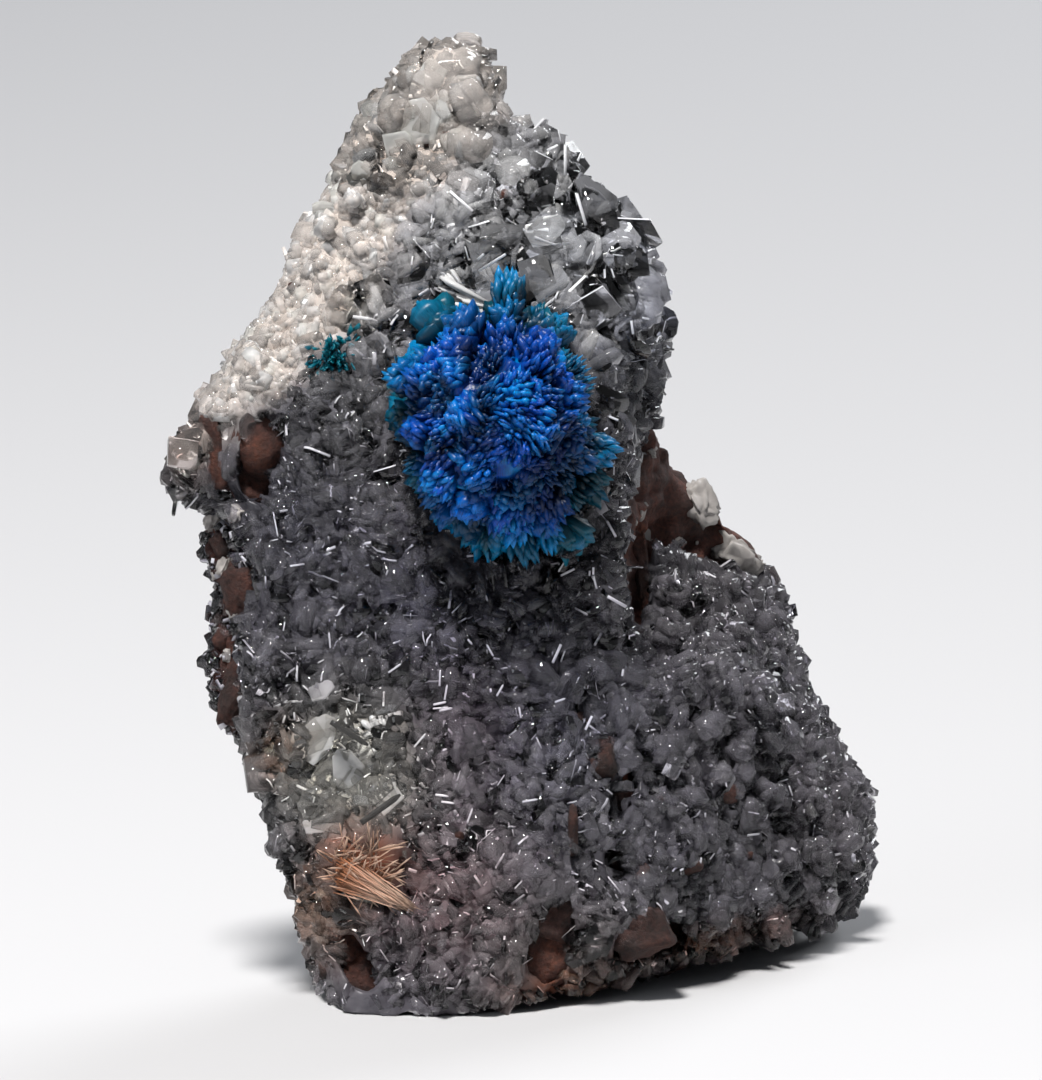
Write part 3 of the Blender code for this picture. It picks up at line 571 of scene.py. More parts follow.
# The druse: thousands of flat clear crystals that grew out of the crust in small clusters, each a fan or a
# pile of plates. Every zone of the specimen has its own size, order and clearness.
COFFIN = ((-0.28, 0.0), (0.28, 0.0), (0.5, 0.42), (0.3, 0.9), (0.12, 1.0), (-0.2, 1.0), (-0.5, 0.5))
LATH = ((-0.4, 0.0), (0.4, 0.0), (0.42, 0.86), (0.16, 1.0), (-0.16, 1.0), (-0.42, 0.86))
TABLET = ((-0.5, 0.0), (0.5, 0.0), (0.5, 0.8), (0.32, 1.0), (-0.46, 0.96))
DISC = tuple(
    (0.5 * math.cos(math.radians(angle)), 0.5 + 0.5 * math.sin(math.radians(angle)))
    for angle in range(0, 360, 36)
)
LAYER = ("spacing", "count", "width", "stretch", "thin", "fan", "order", "lean", "root", "shapes")
ZONES = {
    # Each zone has how see-through its blocks are, a layer of stout grown-together blocks, and thin plates
    # that stand up between them: distance between clusters in mm, crystals in each, their width in mm, length
    # and thickness as shares of it, fan angle in degrees, order, lean, how deep they root, and outlines
    "ridge": (
        0.72,
        (0.40, 2, (0.3, 0.8), (0.8, 1.3), (0.35, 0.7), 80, 0.2, 0.5, 0.62, (COFFIN, TABLET)),
        (1.10, 3, (0.5, 1.1), (0.8, 1.4), (0.12, 0.25), 60, 0.5, 0.5, 0.66, (COFFIN, TABLET)),
    ),
    "summit": (
        0.85,
        (0.62, 3, (0.6, 1.4), (0.8, 1.3), (0.2, 0.45), 60, 0.4, 0.5, 0.62, (COFFIN, DISC, TABLET)),
        (0.85, 3, (0.6, 1.5), (0.8, 1.3), (0.07, 0.14), 60, 0.6, 0.6, 0.62, (DISC, COFFIN, DISC)),
    ),
    "upper": (
        0.80,
        (0.74, 3, (0.9, 1.7), (0.9, 1.5), (0.14, 0.3), 60, 0.6, 0.6, 0.55, (COFFIN, TABLET, COFFIN)),
        (0.85, 5, (0.8, 1.9), (0.9, 1.5), (0.04, 0.08), 50, 0.7, 0.6, 0.5, (COFFIN, DISC, TABLET)),
    ),
    "middle": (
        0.94,
        (0.66, 3, (0.65, 1.3), (0.9, 1.5), (0.16, 0.35), 70, 0.5, 0.65, 0.55, (TABLET, COFFIN)),
        (0.80, 4, (0.4, 1.2), (0.9, 1.8), (0.05, 0.11), 60, 0.7, 0.75, 0.5, (TABLET, COFFIN, LATH)),
    ),
    "lower": (
        0.91,
        (0.64, 3, (0.6, 1.2), (0.9, 1.6), (0.16, 0.35), 70, 0.5, 0.65, 0.55, (TABLET, COFFIN)),
        (0.78, 4, (0.4, 1.1), (0.9, 2.0), (0.05, 0.12), 60, 0.6, 0.75, 0.5, (TABLET, LATH, COFFIN)),
    ),
    "wing": (
        0.93,
        (0.64, 3, (0.55, 1.05), (0.9, 1.4), (0.2, 0.45), 70, 0.4, 0.65, 0.55, (TABLET, COFFIN)),
        (0.80, 3, (0.3, 0.85), (0.9, 1.6), (0.07, 0.15), 70, 0.5, 0.75, 0.5, (TABLET, COFFIN, LATH)),
    ),
}
RIM = (0.50, 3, (0.3, 0.9), (0.8, 1.4), (0.2, 0.5), 80, 0.3, 0.6, 0.5, (COFFIN, TABLET))
SUMMIT_FOOT = 36.8  # above this, left of SUMMIT_EDGE, the crystals are larger and rounder
SUMMIT_EDGE = 0.5
UPPER_FOOT = 29.5
MIDDLE_FOOT = 12.5
WING_EDGE = 4.6  # the wing lies right of this and below WING_TOP
WING_TOP = 25.5
RIM_EDGE = -9.6  # crystals cling to the basalt left of this, on its front and side
RIM_TOP = 29.0  # and below this
CONTACT = 1.1  # nothing grows where basalt lies nearer than this above the crust
CLUSTER_FOOT = 0.72  # nor where a cluster sits: the square of the share of its half size that is kept bare
BARE_FOOT = 0.3  # nor nearer than this to the table
DRAWS = 5  # places drawn for each one that a surface has room for, before the crowded ones are left out
OVERHANG_REACH = 6.0  # how far behind a crystal's tip the rock is looked for
OVERHANGING_LOST = 0.85  # this share of the crystals that would hang over bare basalt is left out


def zone_of(points):
    """The zone of the druse that each point lies in, by name."""
    x, z = points[:, 0], points[:, 2]
    zone = np.where(z > UPPER_FOOT, "upper", np.where(z > MIDDLE_FOOT, "middle", "lower"))
    zone = np.where((x > WING_EDGE) & (z < WING_TOP), "wing", zone)
    zone = np.where(ridge_share(points) > 0.5, "ridge", zone)
    return np.where((z > SUMMIT_FOOT) & (x < SUMMIT_EDGE), "summit", zone)


def spread_places(points, faces, out, spacing, chance):
    """Places spread over a surface, about one in each cube of the given side, with the direction out of it.

    Faces are drawn by their area and a place within each by two random shares. Of the places in one cube the
    first is kept.
    """
    a, b, c, d = (points[faces[:, i]] for i in range(4))
    area = np.linalg.norm(np.cross(c - a, d - b), axis=1) / 2
    drawn = chance.choice(len(faces), int(area.sum() / spacing ** 2 * DRAWS), p=area / area.sum())
    u = chance.random((len(drawn), 1))
    v = chance.random((len(drawn), 1))
    places = (a[drawn] * (1 - u) + b[drawn] * u) * (1 - v) + (d[drawn] * (1 - u) + c[drawn] * u) * v
    cubes = np.floor(places / spacing).astype(int)
    first = np.unique(cubes, axis=0, return_index=True)[1]
    first.sort()
    return places[first], out[faces[drawn[first], 0]]


def free_places(places, out, covered=True):
    """True for places that aren't covered by basalt, a chip or one of the clusters that sit on the crust."""
    free = np.ones(len(places), bool)
    if covered:
        starts = places + out * 0.05
        hits = [basalt_tree.ray_cast(Vector(p), Vector(n), CONTACT)[0] for p, n in zip(starts, out)]
        free = np.array([hit is None for hit in hits])
    for node in ("cavansite_ball", "cavansite_tuft", "stilbite_sheaf"):
        low, high = (np.array(corner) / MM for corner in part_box(node))
        middle, half = (low + high) / 2, (high - low) / 2
        off = ((places[:, 0] - middle[0]) / half[0]) ** 2 + ((places[:, 2] - middle[2]) / half[2]) ** 2
        free &= ~((off < CLUSTER_FOOT) & (places[:, 1] < high[1] + 1.5))
    for middle, width, height, turn in chip_places:
        gap = places - middle
        near = np.linalg.norm(gap, axis=1) < max(width, height)
        u = gap[:, 0] * math.cos(turn) + gap[:, 2] * math.sin(turn)
        v = gap[:, 2] * math.cos(turn) - gap[:, 0] * math.sin(turn)
        off = (2 * u / (CHIP_CLEARING * width)) ** 2 + (2 * v / (CHIP_CLEARING * height)) ** 2
        free &= ~(near & (off < 1))
    return free & (places[:, 2] > BARE_FOOT)


def laid_out(origin, across, along, normal, u, v, w):
    """Points of many crystals: each origin, and steps of u, v and w along that crystal's own directions."""
    points = origin[:, None] + across[:, None] * u[..., None] + along[:, None] * v[..., None]
    return points + normal[:, None] * w[..., None]


def prisms(outline, origin, along, across, width, length, thickness, root, bevel=0.0):
    """Many flat crystals of one outline, as points, faces and a flat place for each point.

    The outline lies in the plane of along and across. It is carried through four rings: a flat face drawn in
    by the bevel, the two edges of the rim, and the other flat face. With no bevel it has the two rims alone.
    """
    outline = np.array(outline)
    corners = len(outline)
    if bevel > 0:
        middle = outline.mean(axis=0)
        inner = middle + (outline - middle) * (1 - bevel)
        rings = np.concatenate([inner, outline, outline, inner])
        height = np.repeat([-0.5, -0.32, 0.32, 0.5], corners)
    else:
        rings = np.concatenate([outline, outline])
        height = np.repeat([-0.5, 0.5], corners)
    normal = np.cross(across, along)
    u = rings[:, 0] * width[:, None]
    v = (rings[:, 1] - root) * length[:, None]
    w = height * thickness[:, None]
    points = laid_out(origin, across, along, normal, u, v, w)
    step = np.arange(corners)
    after = (step + 1) % corners
    sides = [np.column_stack([step + ring, after + ring, after + ring + corners, step + ring + corners])
             for ring in range(0, len(rings) - corners, corners)]
    caps = np.array([step[::-1], step + len(rings) - corners])
    first = (np.arange(len(origin)) * len(rings))[:, None, None]
    grain = np.stack([u, v], axis=-1).reshape(-1, 2)
    faces = [(first + np.concatenate(sides)).reshape(-1, 4), (first + caps).reshape(-1, corners)]
    return points.reshape(-1, 3), faces, grain


def overhangs(tips):
    """True for tips that stand in front of bare basalt."""
    look = Vector((0, 1, 0))
    found = []
    for tip in tips:
        crust_hit = crust_tree.ray_cast(Vector(tip), look, OVERHANG_REACH)
        basalt_hit = basalt_tree.ray_cast(Vector(tip), look, OVERHANG_REACH)
        found.append(basalt_hit[3] is not None and (crust_hit[3] is None or basalt_hit[3] < crust_hit[3]))
    return np.array(found)


def cluster_crystals(places, out, layer, over_basalt, chance):
    """The crystals of one layer: each place gets a fan or pile of plates, as arrays for new_piece."""
    count = layer["count"]
    total = len(places)
    growth = unit(out + layer["lean"] * chance.normal(0, 1, (total, 3)))
    side = unit(np.cross(growth, chance.normal(0, 1, (total, 3))))
    flat = np.cross(growth, side)
    which = chance.integers(0, len(layer["shapes"]), total)
    cluster_shade = np.exp(chance.normal(0, 0.10, total))
    place, along, across, normal = (np.repeat(array, count, axis=0) for array in (places, growth, side, flat))
    which = np.repeat(which, count)
    share = np.tile((np.arange(count) + 0.5) / count - 0.5, total)
    size = len(place)
    width = chance.uniform(*layer["width"], size) * np.repeat(chance.uniform(0.75, 1.15, total), count)
    twist = (1 - layer["order"]) * chance.uniform(-math.pi, math.pi, size)
    across, normal = turned(across, normal, twist)
    fan = math.radians(layer["fan"]) * (share + chance.normal(0, 0.12, size))
    along, across = turned(along, across, fan)
    along, normal = turned(along, normal, chance.normal(0, 0.14, size))
    length = width * chance.uniform(*layer["stretch"], size)
    thickness = width * chance.uniform(*layer["thin"], size)
    origin = place + across * (share * 0.5 * width)[:, None]
    origin = origin + normal * (chance.normal(0, 0.3, size) * width)[:, None]
    tips = origin + along * (length * (1 - layer["root"]))[:, None]
    reach = 0.5 * width + 0.05
    keep = (tips[:, 2] > reach) & (origin[:, 2] > reach)
    if not over_basalt:
        keep &= ~(overhangs(tips) & (chance.random(size) < OVERHANGING_LOST))
    shade = np.repeat(cluster_shade, count) * np.exp(chance.normal(-0.03, 0.16, size))
    parts = []
    for i, outline in enumerate(layer["shapes"]):
        mine = keep & (which == i)
        points, faces, grain = prisms(
            outline, origin[mine], along[mine], across[mine], width[mine], length[mine], thickness[mine],
            layer["root"],
        )
        colour = clear_tint(origin[mine]) * shade[mine, None]
        corners = len(points) // max(mine.sum(), 1)
        grain = grain + np.repeat(chance.uniform(0, 50, (mine.sum(), 2)), corners, axis=0)
        parts.append((points, faces, grain, np.repeat(np.clip(colour, 0.02, 0.95), corners, axis=0)))
    return joined(parts)


def grown_piece(name, places, out, layer, material, edge, chance, over_basalt=False):
    """A piece of clear crystals that grow from the given places. Lamplight goes through it."""
    points, faces, grain, tint = cluster_crystals(places, out, layer, over_basalt, chance)
    piece = new_piece(name, points, faces, material, tint=tint, grain=grain, edge=edge)
    piece.visible_shadow = False


plate_material = crystal_material("clear_zeolite", 1.0, 0.0, 0.10, 1.0, 1.45)
# Painted glints: a white material, not see-through, for some of the plates' thin sides and for the bright
# lines.
painted_glint_material = crystal_material("zeolite_painted_glint", 0.0, 0.15, 0.40, 1.0)
for index, (name, (clearness, *layers)) in enumerate(ZONES.items()):
    block_material = crystal_material(f"{name}_zeolite", clearness, 0.0, 0.45, 1.0)
    for kind, layer, material, edge in (
        ("blocks", layers[0], block_material, None),
        ("plates", layers[1], block_material if name == "ridge" else plate_material, painted_glint_material),
    ):
        layer = dict(zip(LAYER, layer))
        chance = np.random.default_rng([index, len(kind), ord(kind[0])])
        places, out = spread_places(crust_points, crust_faces, crust_out, layer["spacing"], chance)
        mine = zone_of(places) == name
        places, out = places[mine], out[mine]
        mine = free_places(places, out)
        grown_piece(f"{name}_{kind}", places[mine], out[mine], layer, material, edge, chance)

chance = np.random.default_rng(57)
layer = dict(zip(LAYER, RIM))
places, out = spread_places(basalt_points, basalt_faces, basalt_out, layer["spacing"], chance)
mine = (places[:, 0] < RIM_EDGE + 0.6 * places[:, 2] / 20) & (out[:, 1] < 0.55) & (places[:, 2] < RIM_TOP)
mine &= (lumps(places, 1.5, 58) > -0.10) & free_places(places, out, covered=False)
grown_piece("rim_crystals", places[mine], out[mine], layer, plate_material, painted_glint_material, chance, True)

# Single crystals that stand out by their size, whiteness or turn, each at its own place on the face, and a
# few flat fans of thin laths. They are zeolite and grow out of the crust, as the rest of the druse does.
STANDOUTS = {
    "milky": (
        # place in pixels of the photo, outline, width, length and thickness in mm, turn in the picture,
        # roll about its own length, both in degrees
        ((432, 76), TABLET, 1.2, 1.2, 0.25, 60, 12), ((420, 122), COFFIN, 1.9, 2.1, 0.3, 100, 8),
        ((441, 108), COFFIN, 1.4, 1.6, 0.3, 60, 30), ((466, 88), COFFIN, 1.3, 1.5, 0.4, 20, -25),
        ((598, 508), TABLET, 0.7, 0.8, 0.3, 30, 0), ((322, 690), COFFIN, 0.9, 1.2, 0.2, 30, 20),
        ((626, 256), TABLET, 0.7, 0.8, 0.2, 60, 20), ((382, 345), COFFIN, 1.0, 1.3, 0.2, 120, 25),
        ((349, 771), COFFIN, 1.6, 2.2, 0.2, 110, 10), ((388, 797), TABLET, 1.1, 1.3, 0.2, 40, 12),
        ((320, 822), COFFIN, 1.0, 1.5, 0.2, 20, 10), ((318, 738), COFFIN, 1.7, 2.3, 0.3, 60, 12),
        ((400, 148), TABLET, 1.5, 1.3, 0.35, 10, -20), ((365, 175), COFFIN, 1.2, 1.4, 0.4, 130, 20),
    ),
    "clear": (
        ((527, 150), DISC, 1.15, 1.15, 0.16, 90, 8), ((546, 172), DISC, 0.9, 0.9, 0.14, 90, 25),
        ((560, 186), DISC, 0.75, 0.75, 0.14, 90, -15),
        ((342, 308), COFFIN, 1.5, 2.1, 0.5, 80, 16), ((312, 344), TABLET, 1.0, 1.2, 0.3, 20, 10),
        ((378, 300), COFFIN, 1.4, 2.4, 0.16, 100, 14), ((368, 322), COFFIN, 1.1, 2.0, 0.14, 70, 50),
        ((505, 235), COFFIN, 1.6, 2.4, 0.12, 140, 60), ((540, 240), TABLET, 1.8, 2.0, 0.12, 20, 30),
        ((480, 200), COFFIN, 1.5, 2.2, 0.12, 60, 40), ((575, 262), COFFIN, 1.4, 2.0, 0.12, 75, 20),
        ((390, 700), COFFIN, 1.3, 1.8, 0.12, 30, 30), ((470, 740), TABLET, 1.2, 1.6, 0.12, 110, 35),
        ((330, 655), COFFIN, 1.2, 1.6, 0.14, 75, 20), ((560, 640), TABLET, 1.2, 1.5, 0.12, 20, 25),
        ((312, 735), COFFIN, 1.7, 2.2, 0.14, 40, 15), ((355, 748), COFFIN, 1.5, 2.2, 0.12, 130, 10),
        ((340, 775), TABLET, 1.9, 2.0, 0.12, 50, -12), ((372, 790), COFFIN, 1.5, 2.0, 0.12, 20, 24),
        ((330, 812), TABLET, 1.5, 1.8, 0.12, 80, 18), ((392, 760), COFFIN, 1.3, 1.9, 0.12, 95, -30),
        ((300, 790), COFFIN, 1.2, 1.6, 0.14, 110, 22), ((365, 830), TABLET, 1.3, 1.4, 0.12, 10, 20),
    ),
    "dark": (
        ((350, 733), LATH, 0.30, 2.0, 0.25, -32, 0), ((381, 808), LATH, 0.34, 2.2, 0.28, 36, 0),
    ),
    # thin laths laid on bright lines, white in the material of the painted glints
    "line": tuple(
        (pixel, LATH, width, length, 0.1, turn, 0) for pixel, width, length, turn in (
            ((515, 232), 0.16, 4.2, 21), ((440, 678), 0.10, 0.7, 88), ((446, 692), 0.10, 0.7, 80),
            ((440, 703), 0.12, 0.6, 12), ((446, 709), 0.12, 0.6, 12), ((442, 795), 0.12, 0.6, -8),
            ((448, 802), 0.12, 0.6, -8), ((470, 815), 0.10, 0.7, 70), ((500, 690), 0.10, 0.6, 60),
            ((520, 712), 0.10, 0.5, 100), ((395, 668), 0.10, 0.7, 35), ((420, 740), 0.10, 0.8, 50),
            ((560, 700), 0.10, 0.5, 20), ((490, 650), 0.10, 0.6, 120), ((700, 862), 0.12, 0.5, 80),
            ((500, 860), 0.10, 0.8, 60), ((530, 800), 0.10, 0.7, 10), ((330, 640), 0.10, 0.7, 95),
        )
    ),
}
STANDOUT_BEVEL = 0.12
STANDOUT_LIFT = {"milky": 0.45, "clear": 0.45, "dark": 1.4, "line": 0.95}
FANS = (
    # place of the root in pixels, turn of the middle and half spread in degrees, blades, their length in mm
    ((500, 312), 168, 20, 16, (1.6, 3.6)), ((470, 300), 150, 26, 10, (0.9, 1.8)),
    ((410, 346), 150, 24, 10, (0.8, 1.5)), ((352, 760), 60, 40, 9, (0.8, 1.4)),
    ((385, 740), 100, 40, 9, (0.8, 1.4)), ((590, 330), 60, 30, 8, (0.8, 1.4)),
)


def standouts(rows, lift):
    """Arrays of single crystals: each has its place by its pixel, its turn, and its roll about its length.

    lift brings them forward among the crystals of the druse.
    """
    parts = []
    for pixel, outline, width, length, thickness, turn, roll in rows:
        middle, out = seen_at(pixel, crust_tree, basalt_tree)
        along, across = turned(camera_right, camera_up, np.array(math.radians(turn)))
        along = unit(along - camera_forward * 0.15)
        facing = unit(np.cross(across, along))
        across = np.cross(along, facing)
        across, facing = turned(across, facing, np.array(math.radians(roll)))
        place = middle - camera_forward * (lift + 0.35 * thickness)
        sizes = (np.array([size]) for size in (width, length, thickness))
        points, faces, grain = prisms(
            outline, place[None], along[None], across[None], *sizes, 0.5, STANDOUT_BEVEL,
        )
        parts.append((points, faces, grain, clear_tint(points)))
    return joined(parts)


def crystal_fans(rows, chance):
    """Arrays of flat fans of thin laths that spread from one root over the face."""
    parts = []
    for pixel, turn, spread, count, lengths in rows:
        middle, out = seen_at(pixel, crust_tree)
        angle = np.radians(turn + spread * np.linspace(-1, 1, count) + chance.normal(0, 2, count))
        along, across = turned(np.tile(camera_right, (count, 1)), np.tile(camera_up, (count, 1)), angle)
        along = unit(along - camera_forward * chance.uniform(0.02, 0.25, (count, 1)))
        across = unit(across + camera_forward * chance.normal(0, 0.5, (count, 1)))
        across = unit(across - along * (across * along).sum(axis=1, keepdims=True))
        place = np.tile(middle - camera_forward * 0.25, (count, 1))
        length = chance.uniform(*lengths, count)
        width = chance.uniform(0.22, 0.42, count)
        points, faces, grain = prisms(LATH, place, along, across, width, length, width * 0.3, 0.0)
        parts.append((points, faces, grain, clear_tint(points)))
    return joined(parts)


standout_materials = {
    "milky": crystal_material("milky_zeolite", 0.62, 0.06, 0.35, 2.0),
    "clear": crystal_material("lone_zeolite", 0.95, 0.0, 0.25, 2.0, 1.35),
    "dark": crystal_material("smoky_zeolite", 0.55, 0.08, 0.05, 2.0),
    "line": painted_glint_material,
}
for name, rows in STANDOUTS.items():
    points, faces, grain, tint = standouts(rows, STANDOUT_LIFT[name])
    if name == "dark":
        tint = tint * 0.12
    elif name != "clear":
        tint = np.clip(tint * 1.05, 0, 0.84)
    material = standout_materials[name]
    piece = new_piece(f"{name}_crystals", points, faces, material, tint=tint, grain=grain)
    piece.visible_shadow = name == "dark"  # lamplight goes through the others
points, faces, grain, tint = crystal_fans(FANS, np.random.default_rng(37))
fan_material = crystal_material("fibrous_zeolite", 0.30, 0.12, 0.3, 2.0)
tint = np.clip(tint * 1.3, 0, 0.9)
new_piece("crystal_fans", points, faces, fan_material, tint=tint, grain=grain)

# The summit's knob: a few rounded zeolite crystals grown into one glassy lump, beige and full of veils.
# It is grown onto the top of the crust.
KNOB_LUMPS = (
    # middle in pixels of the photo, width, height and depth in mm, turn in degrees
    ((452, 78), 2.6, 2.3, 2.0, 10), ((470, 102), 1.7, 1.9, 1.5, 30), ((430, 92), 1.7, 1.9, 1.5, -20),
    ((440, 64), 1.5, 1.4, 1.4, 0), ((466, 64), 1.4, 1.3, 1.4, 60),
)
knob_parts = []
for index, (pixel, width, height, depth, turn) in enumerate(KNOB_LUMPS):
    middle, out = seen_at(pixel, crust_tree)
    middle = middle - camera_forward * 0.2
    knob_parts.append(lump(middle, -camera_forward, width, height, depth, turn, 14, 20, 0.16, 300 + index))
points, faces = joined(knob_parts)
knob_material = crystal_material("knob_zeolite", 0.80, 0.04, 0.35, 3.0)
knob = new_piece("summit_knob", points, faces, knob_material, tint=clear_tint(points))
knob.visible_shadow = False

# Cream fillings in the basalt: old gas bubbles filled with white zeolite, small rounded lumps that stand a
# little proud of the broken rock, with two larger remnants of crust on the right shoulder.


def lumps_way(points):
    """A direction that changes slowly from place to place, from three fields of noise."""
    return np.column_stack([lumps(points, 0.5, seed) for seed in (65, 66, 67)])


REMNANTS = (
    # middle in pixels of the photo, width and height in mm, turn in degrees
    ((699, 502), 1.5, 2.0, 10), ((736, 556), 2.4, 1.5, -38), ((757, 570), 1.0, 0.8, 0),
    ((652, 453), 0.4, 0.4, 0), ((205, 448), 0.5, 1.0, 0), ((214, 520), 0.9, 1.2, 20),
    ((238, 515), 0.8, 0.7, 0), ((214, 610), 0.8, 1.2, 0), ((244, 632), 0.9, 0.7, 20),
    ((208, 570), 0.5, 0.8, 0), ((228, 655), 0.5, 0.6, 0), ((238, 545), 0.5, 0.5, 0),
)
FILLING_SPACING = 1.5
FILLING_SIZES = (0.2, 1.1)
FILLING_FEW = 3.5  # the higher this power, the fewer fillings are large
chance = np.random.default_rng(47)
lump_parts = []
for index, (pixel, width, height, turn) in enumerate(REMNANTS):
    middle, out = seen_at(pixel, basalt_tree, crust_tree)
    depth = 0.6 * min(width, height)
    lump_parts.append(lump(middle, unit(out), width, height, depth, turn, 24, 36, 0.38, 200 + index))
places, out = spread_places(basalt_points, basalt_faces, basalt_out, FILLING_SPACING, chance)
small, large = FILLING_SIZES
sizes = chance.uniform(0, 1, len(places)) ** FILLING_FEW * (large - small) + small
swarm = lumps(places, 4.5, 62) > -0.05
for place, direction, size in zip(places[swarm], out[swarm], sizes[swarm]):
    buried = crust_tree.find_nearest(Vector(place))[3] < 0.5
    if place[2] > size and not buried:
        middle, height = place - direction * size * 0.12, size * chance.uniform(0.5, 1.2)
        turn, seed = chance.uniform(0, 180), int(place[0] * 10) + 500
        lump_parts.append(lump(middle, unit(direction), size, height, size * 0.5, turn, 4, 8, 0.3, seed))
points, faces = joined(lump_parts)
points = points + unit(lumps_way(points)) * (0.05 * lumps(points, 0.22, 64))[:, None]
filling_light = 0.62 + 0.22 * lumps(points, 0.8, 61) + 0.18 * lumps(points, 0.25, 63)
filling_tint = np.array(RIDGE_CREAM) * filling_light[:, None]
filling_material = crystal_material("zeolite_filling", 0.15, 0.35, 0.2, 4.0)
new_piece("bubble_fillings", points, faces, filling_material, tint=filling_tint)

# The cavansite rosette: a ball of fans of pointed blades that radiate from one middle, about 10 mm across.
# Its blades are deep blue where they are thick and turn to sky blue and green-blue where they run out thin.
# Shade is painted into their tint as well: darker towards their roots and in the clefts between the lobes,
# lighter on the lobes' crests.
BALL_MIDDLE = np.array([-1.25, -7.25, 26.5])
BALL_OUT = np.array([0.0, -0.986, 0.168])
BALL_DEPTH = 5.4  # how far it reaches out of the face, in mm
CREST_POLE = (-0.45, 0.0, 0.9)  # the fans' crests run round this axis, more or less
BALL_RIM = (
    # how far the rosette reaches round its rim, seen from the front: angle from the right in degrees, and mm
    (-16, 5.3), (6, 4.9), (25, 4.6), (43, 5.0), (61, 6.0), (73, 6.2), (83, 7.0), (90, 6.2),
    (100, 5.8), (114, 6.0), (131, 5.8), (137, 5.5), (153, 5.6), (167, 4.7), (186, 4.8), (205, 4.4),
    (215, 5.7), (232, 5.4), (240, 6.1), (255, 5.7), (269, 5.9), (276, 6.7), (284, 6.1), (297, 6.3),
    (308, 6.7), (321, 5.1), (334, 5.6),
)
BALL_FANS = 330
FAN_BLADES = 5
FAN_LAYERS = 6
HEART_CELL = 0.2
HEART_REACH = 5.6  # the fused middle stays within this, in mm
FAN_ROOT = 0.64  # the fans spread from this share of the way out
FAN_SPREAD = 0.58
LAYER_SPREAD = 0.22
FAN_COARSENESS = (0.6, 1.4)  # how stout a fan's blades are, as a share of the usual
BLADE_SECTION = ((0.5, 0.0), (0.22, 0.5), (-0.22, 0.5), (-0.5, 0.0), (-0.22, -0.5), (0.22, -0.5))
BLADE_SHOULDER = 0.80  # where its roof begins, as a share of its length
BLADE_WAIST = 0.55  # its width at the root, as a share of the width at the shoulder
BLADE_CREST = 0.14  # the length of the edge that its roof ends in, as a share of its width
DEEP_BLUE = np.array([0.0, 0.082, 0.50])
SKY_BLUE = np.array([0.0, 0.32, 0.82])
GREEN_BLUE = np.array([0.0, 0.125, 0.20])

ball_up = unit(np.array([0.0, 0.168, 0.986]))
ball_axes = np.array([[1.0, 0, 0], BALL_OUT / np.linalg.norm(BALL_OUT), ball_up])


def even_directions(count):
    """Directions spread evenly over a sphere by the golden angle."""
    step = np.arange(count)
    height = 1 - 2 * (step + 0.5) / count
    ring = np.sqrt(1 - height ** 2)
    turn = math.pi * (3 - math.sqrt(5)) * step
    return np.column_stack([ring * np.cos(turn), ring * np.sin(turn), height])


def spikes(origin, along, across, width, length, thickness, chance):
    """Many blades with roofed ends, as points, faces and flat places.

    A flattened six-sided section is carried from a narrow root to the shoulder. From there the two broad
    sides slope up to a short edge, which lies a little off the blade's middle.
    """
    section = np.array(BLADE_SECTION)
    corners = len(section)
    normal = np.cross(across, along)
    crest = BLADE_CREST / 2
    u = np.concatenate([section[:, 0] * BLADE_WAIST, section[:, 0], [crest, -crest]]) * width[:, None]
    w = np.concatenate([section[:, 1] * BLADE_WAIST, section[:, 1], [0, 0]]) * thickness[:, None]
    v = np.concatenate([np.zeros(corners), np.full(corners, BLADE_SHOULDER), [1, 1]]) * length[:, None]
    u[:, -2:] += (width * chance.uniform(-0.4, 0.4, len(width)))[:, None]
    points = laid_out(origin, across, along, normal, u, v, w)
    step = np.arange(corners)
    after = (step + 1) % corners
    first = (np.arange(len(origin)) * (2 * corners + 2))[:, None, None]
    sides = np.column_stack([after, step, step + corners, after + corners])
    a, b, c, d, e, f = step + corners
    right, left = 2 * corners, 2 * corners + 1
    slopes = np.array([(b, a, right), (d, c, left), (e, d, left), (a, f, right)])
    roofs = np.array([(c, b, right, left), (f, e, left, right)])
    faces = [
        (first + np.concatenate([sides, roofs])).reshape(-1, 4),
        (first + slopes).reshape(-1, 3),
        (first + step[None]).reshape(-1, corners),
    ]
    return points.reshape(-1, 3), faces, np.stack([u, v], axis=-1).reshape(-1, 2)


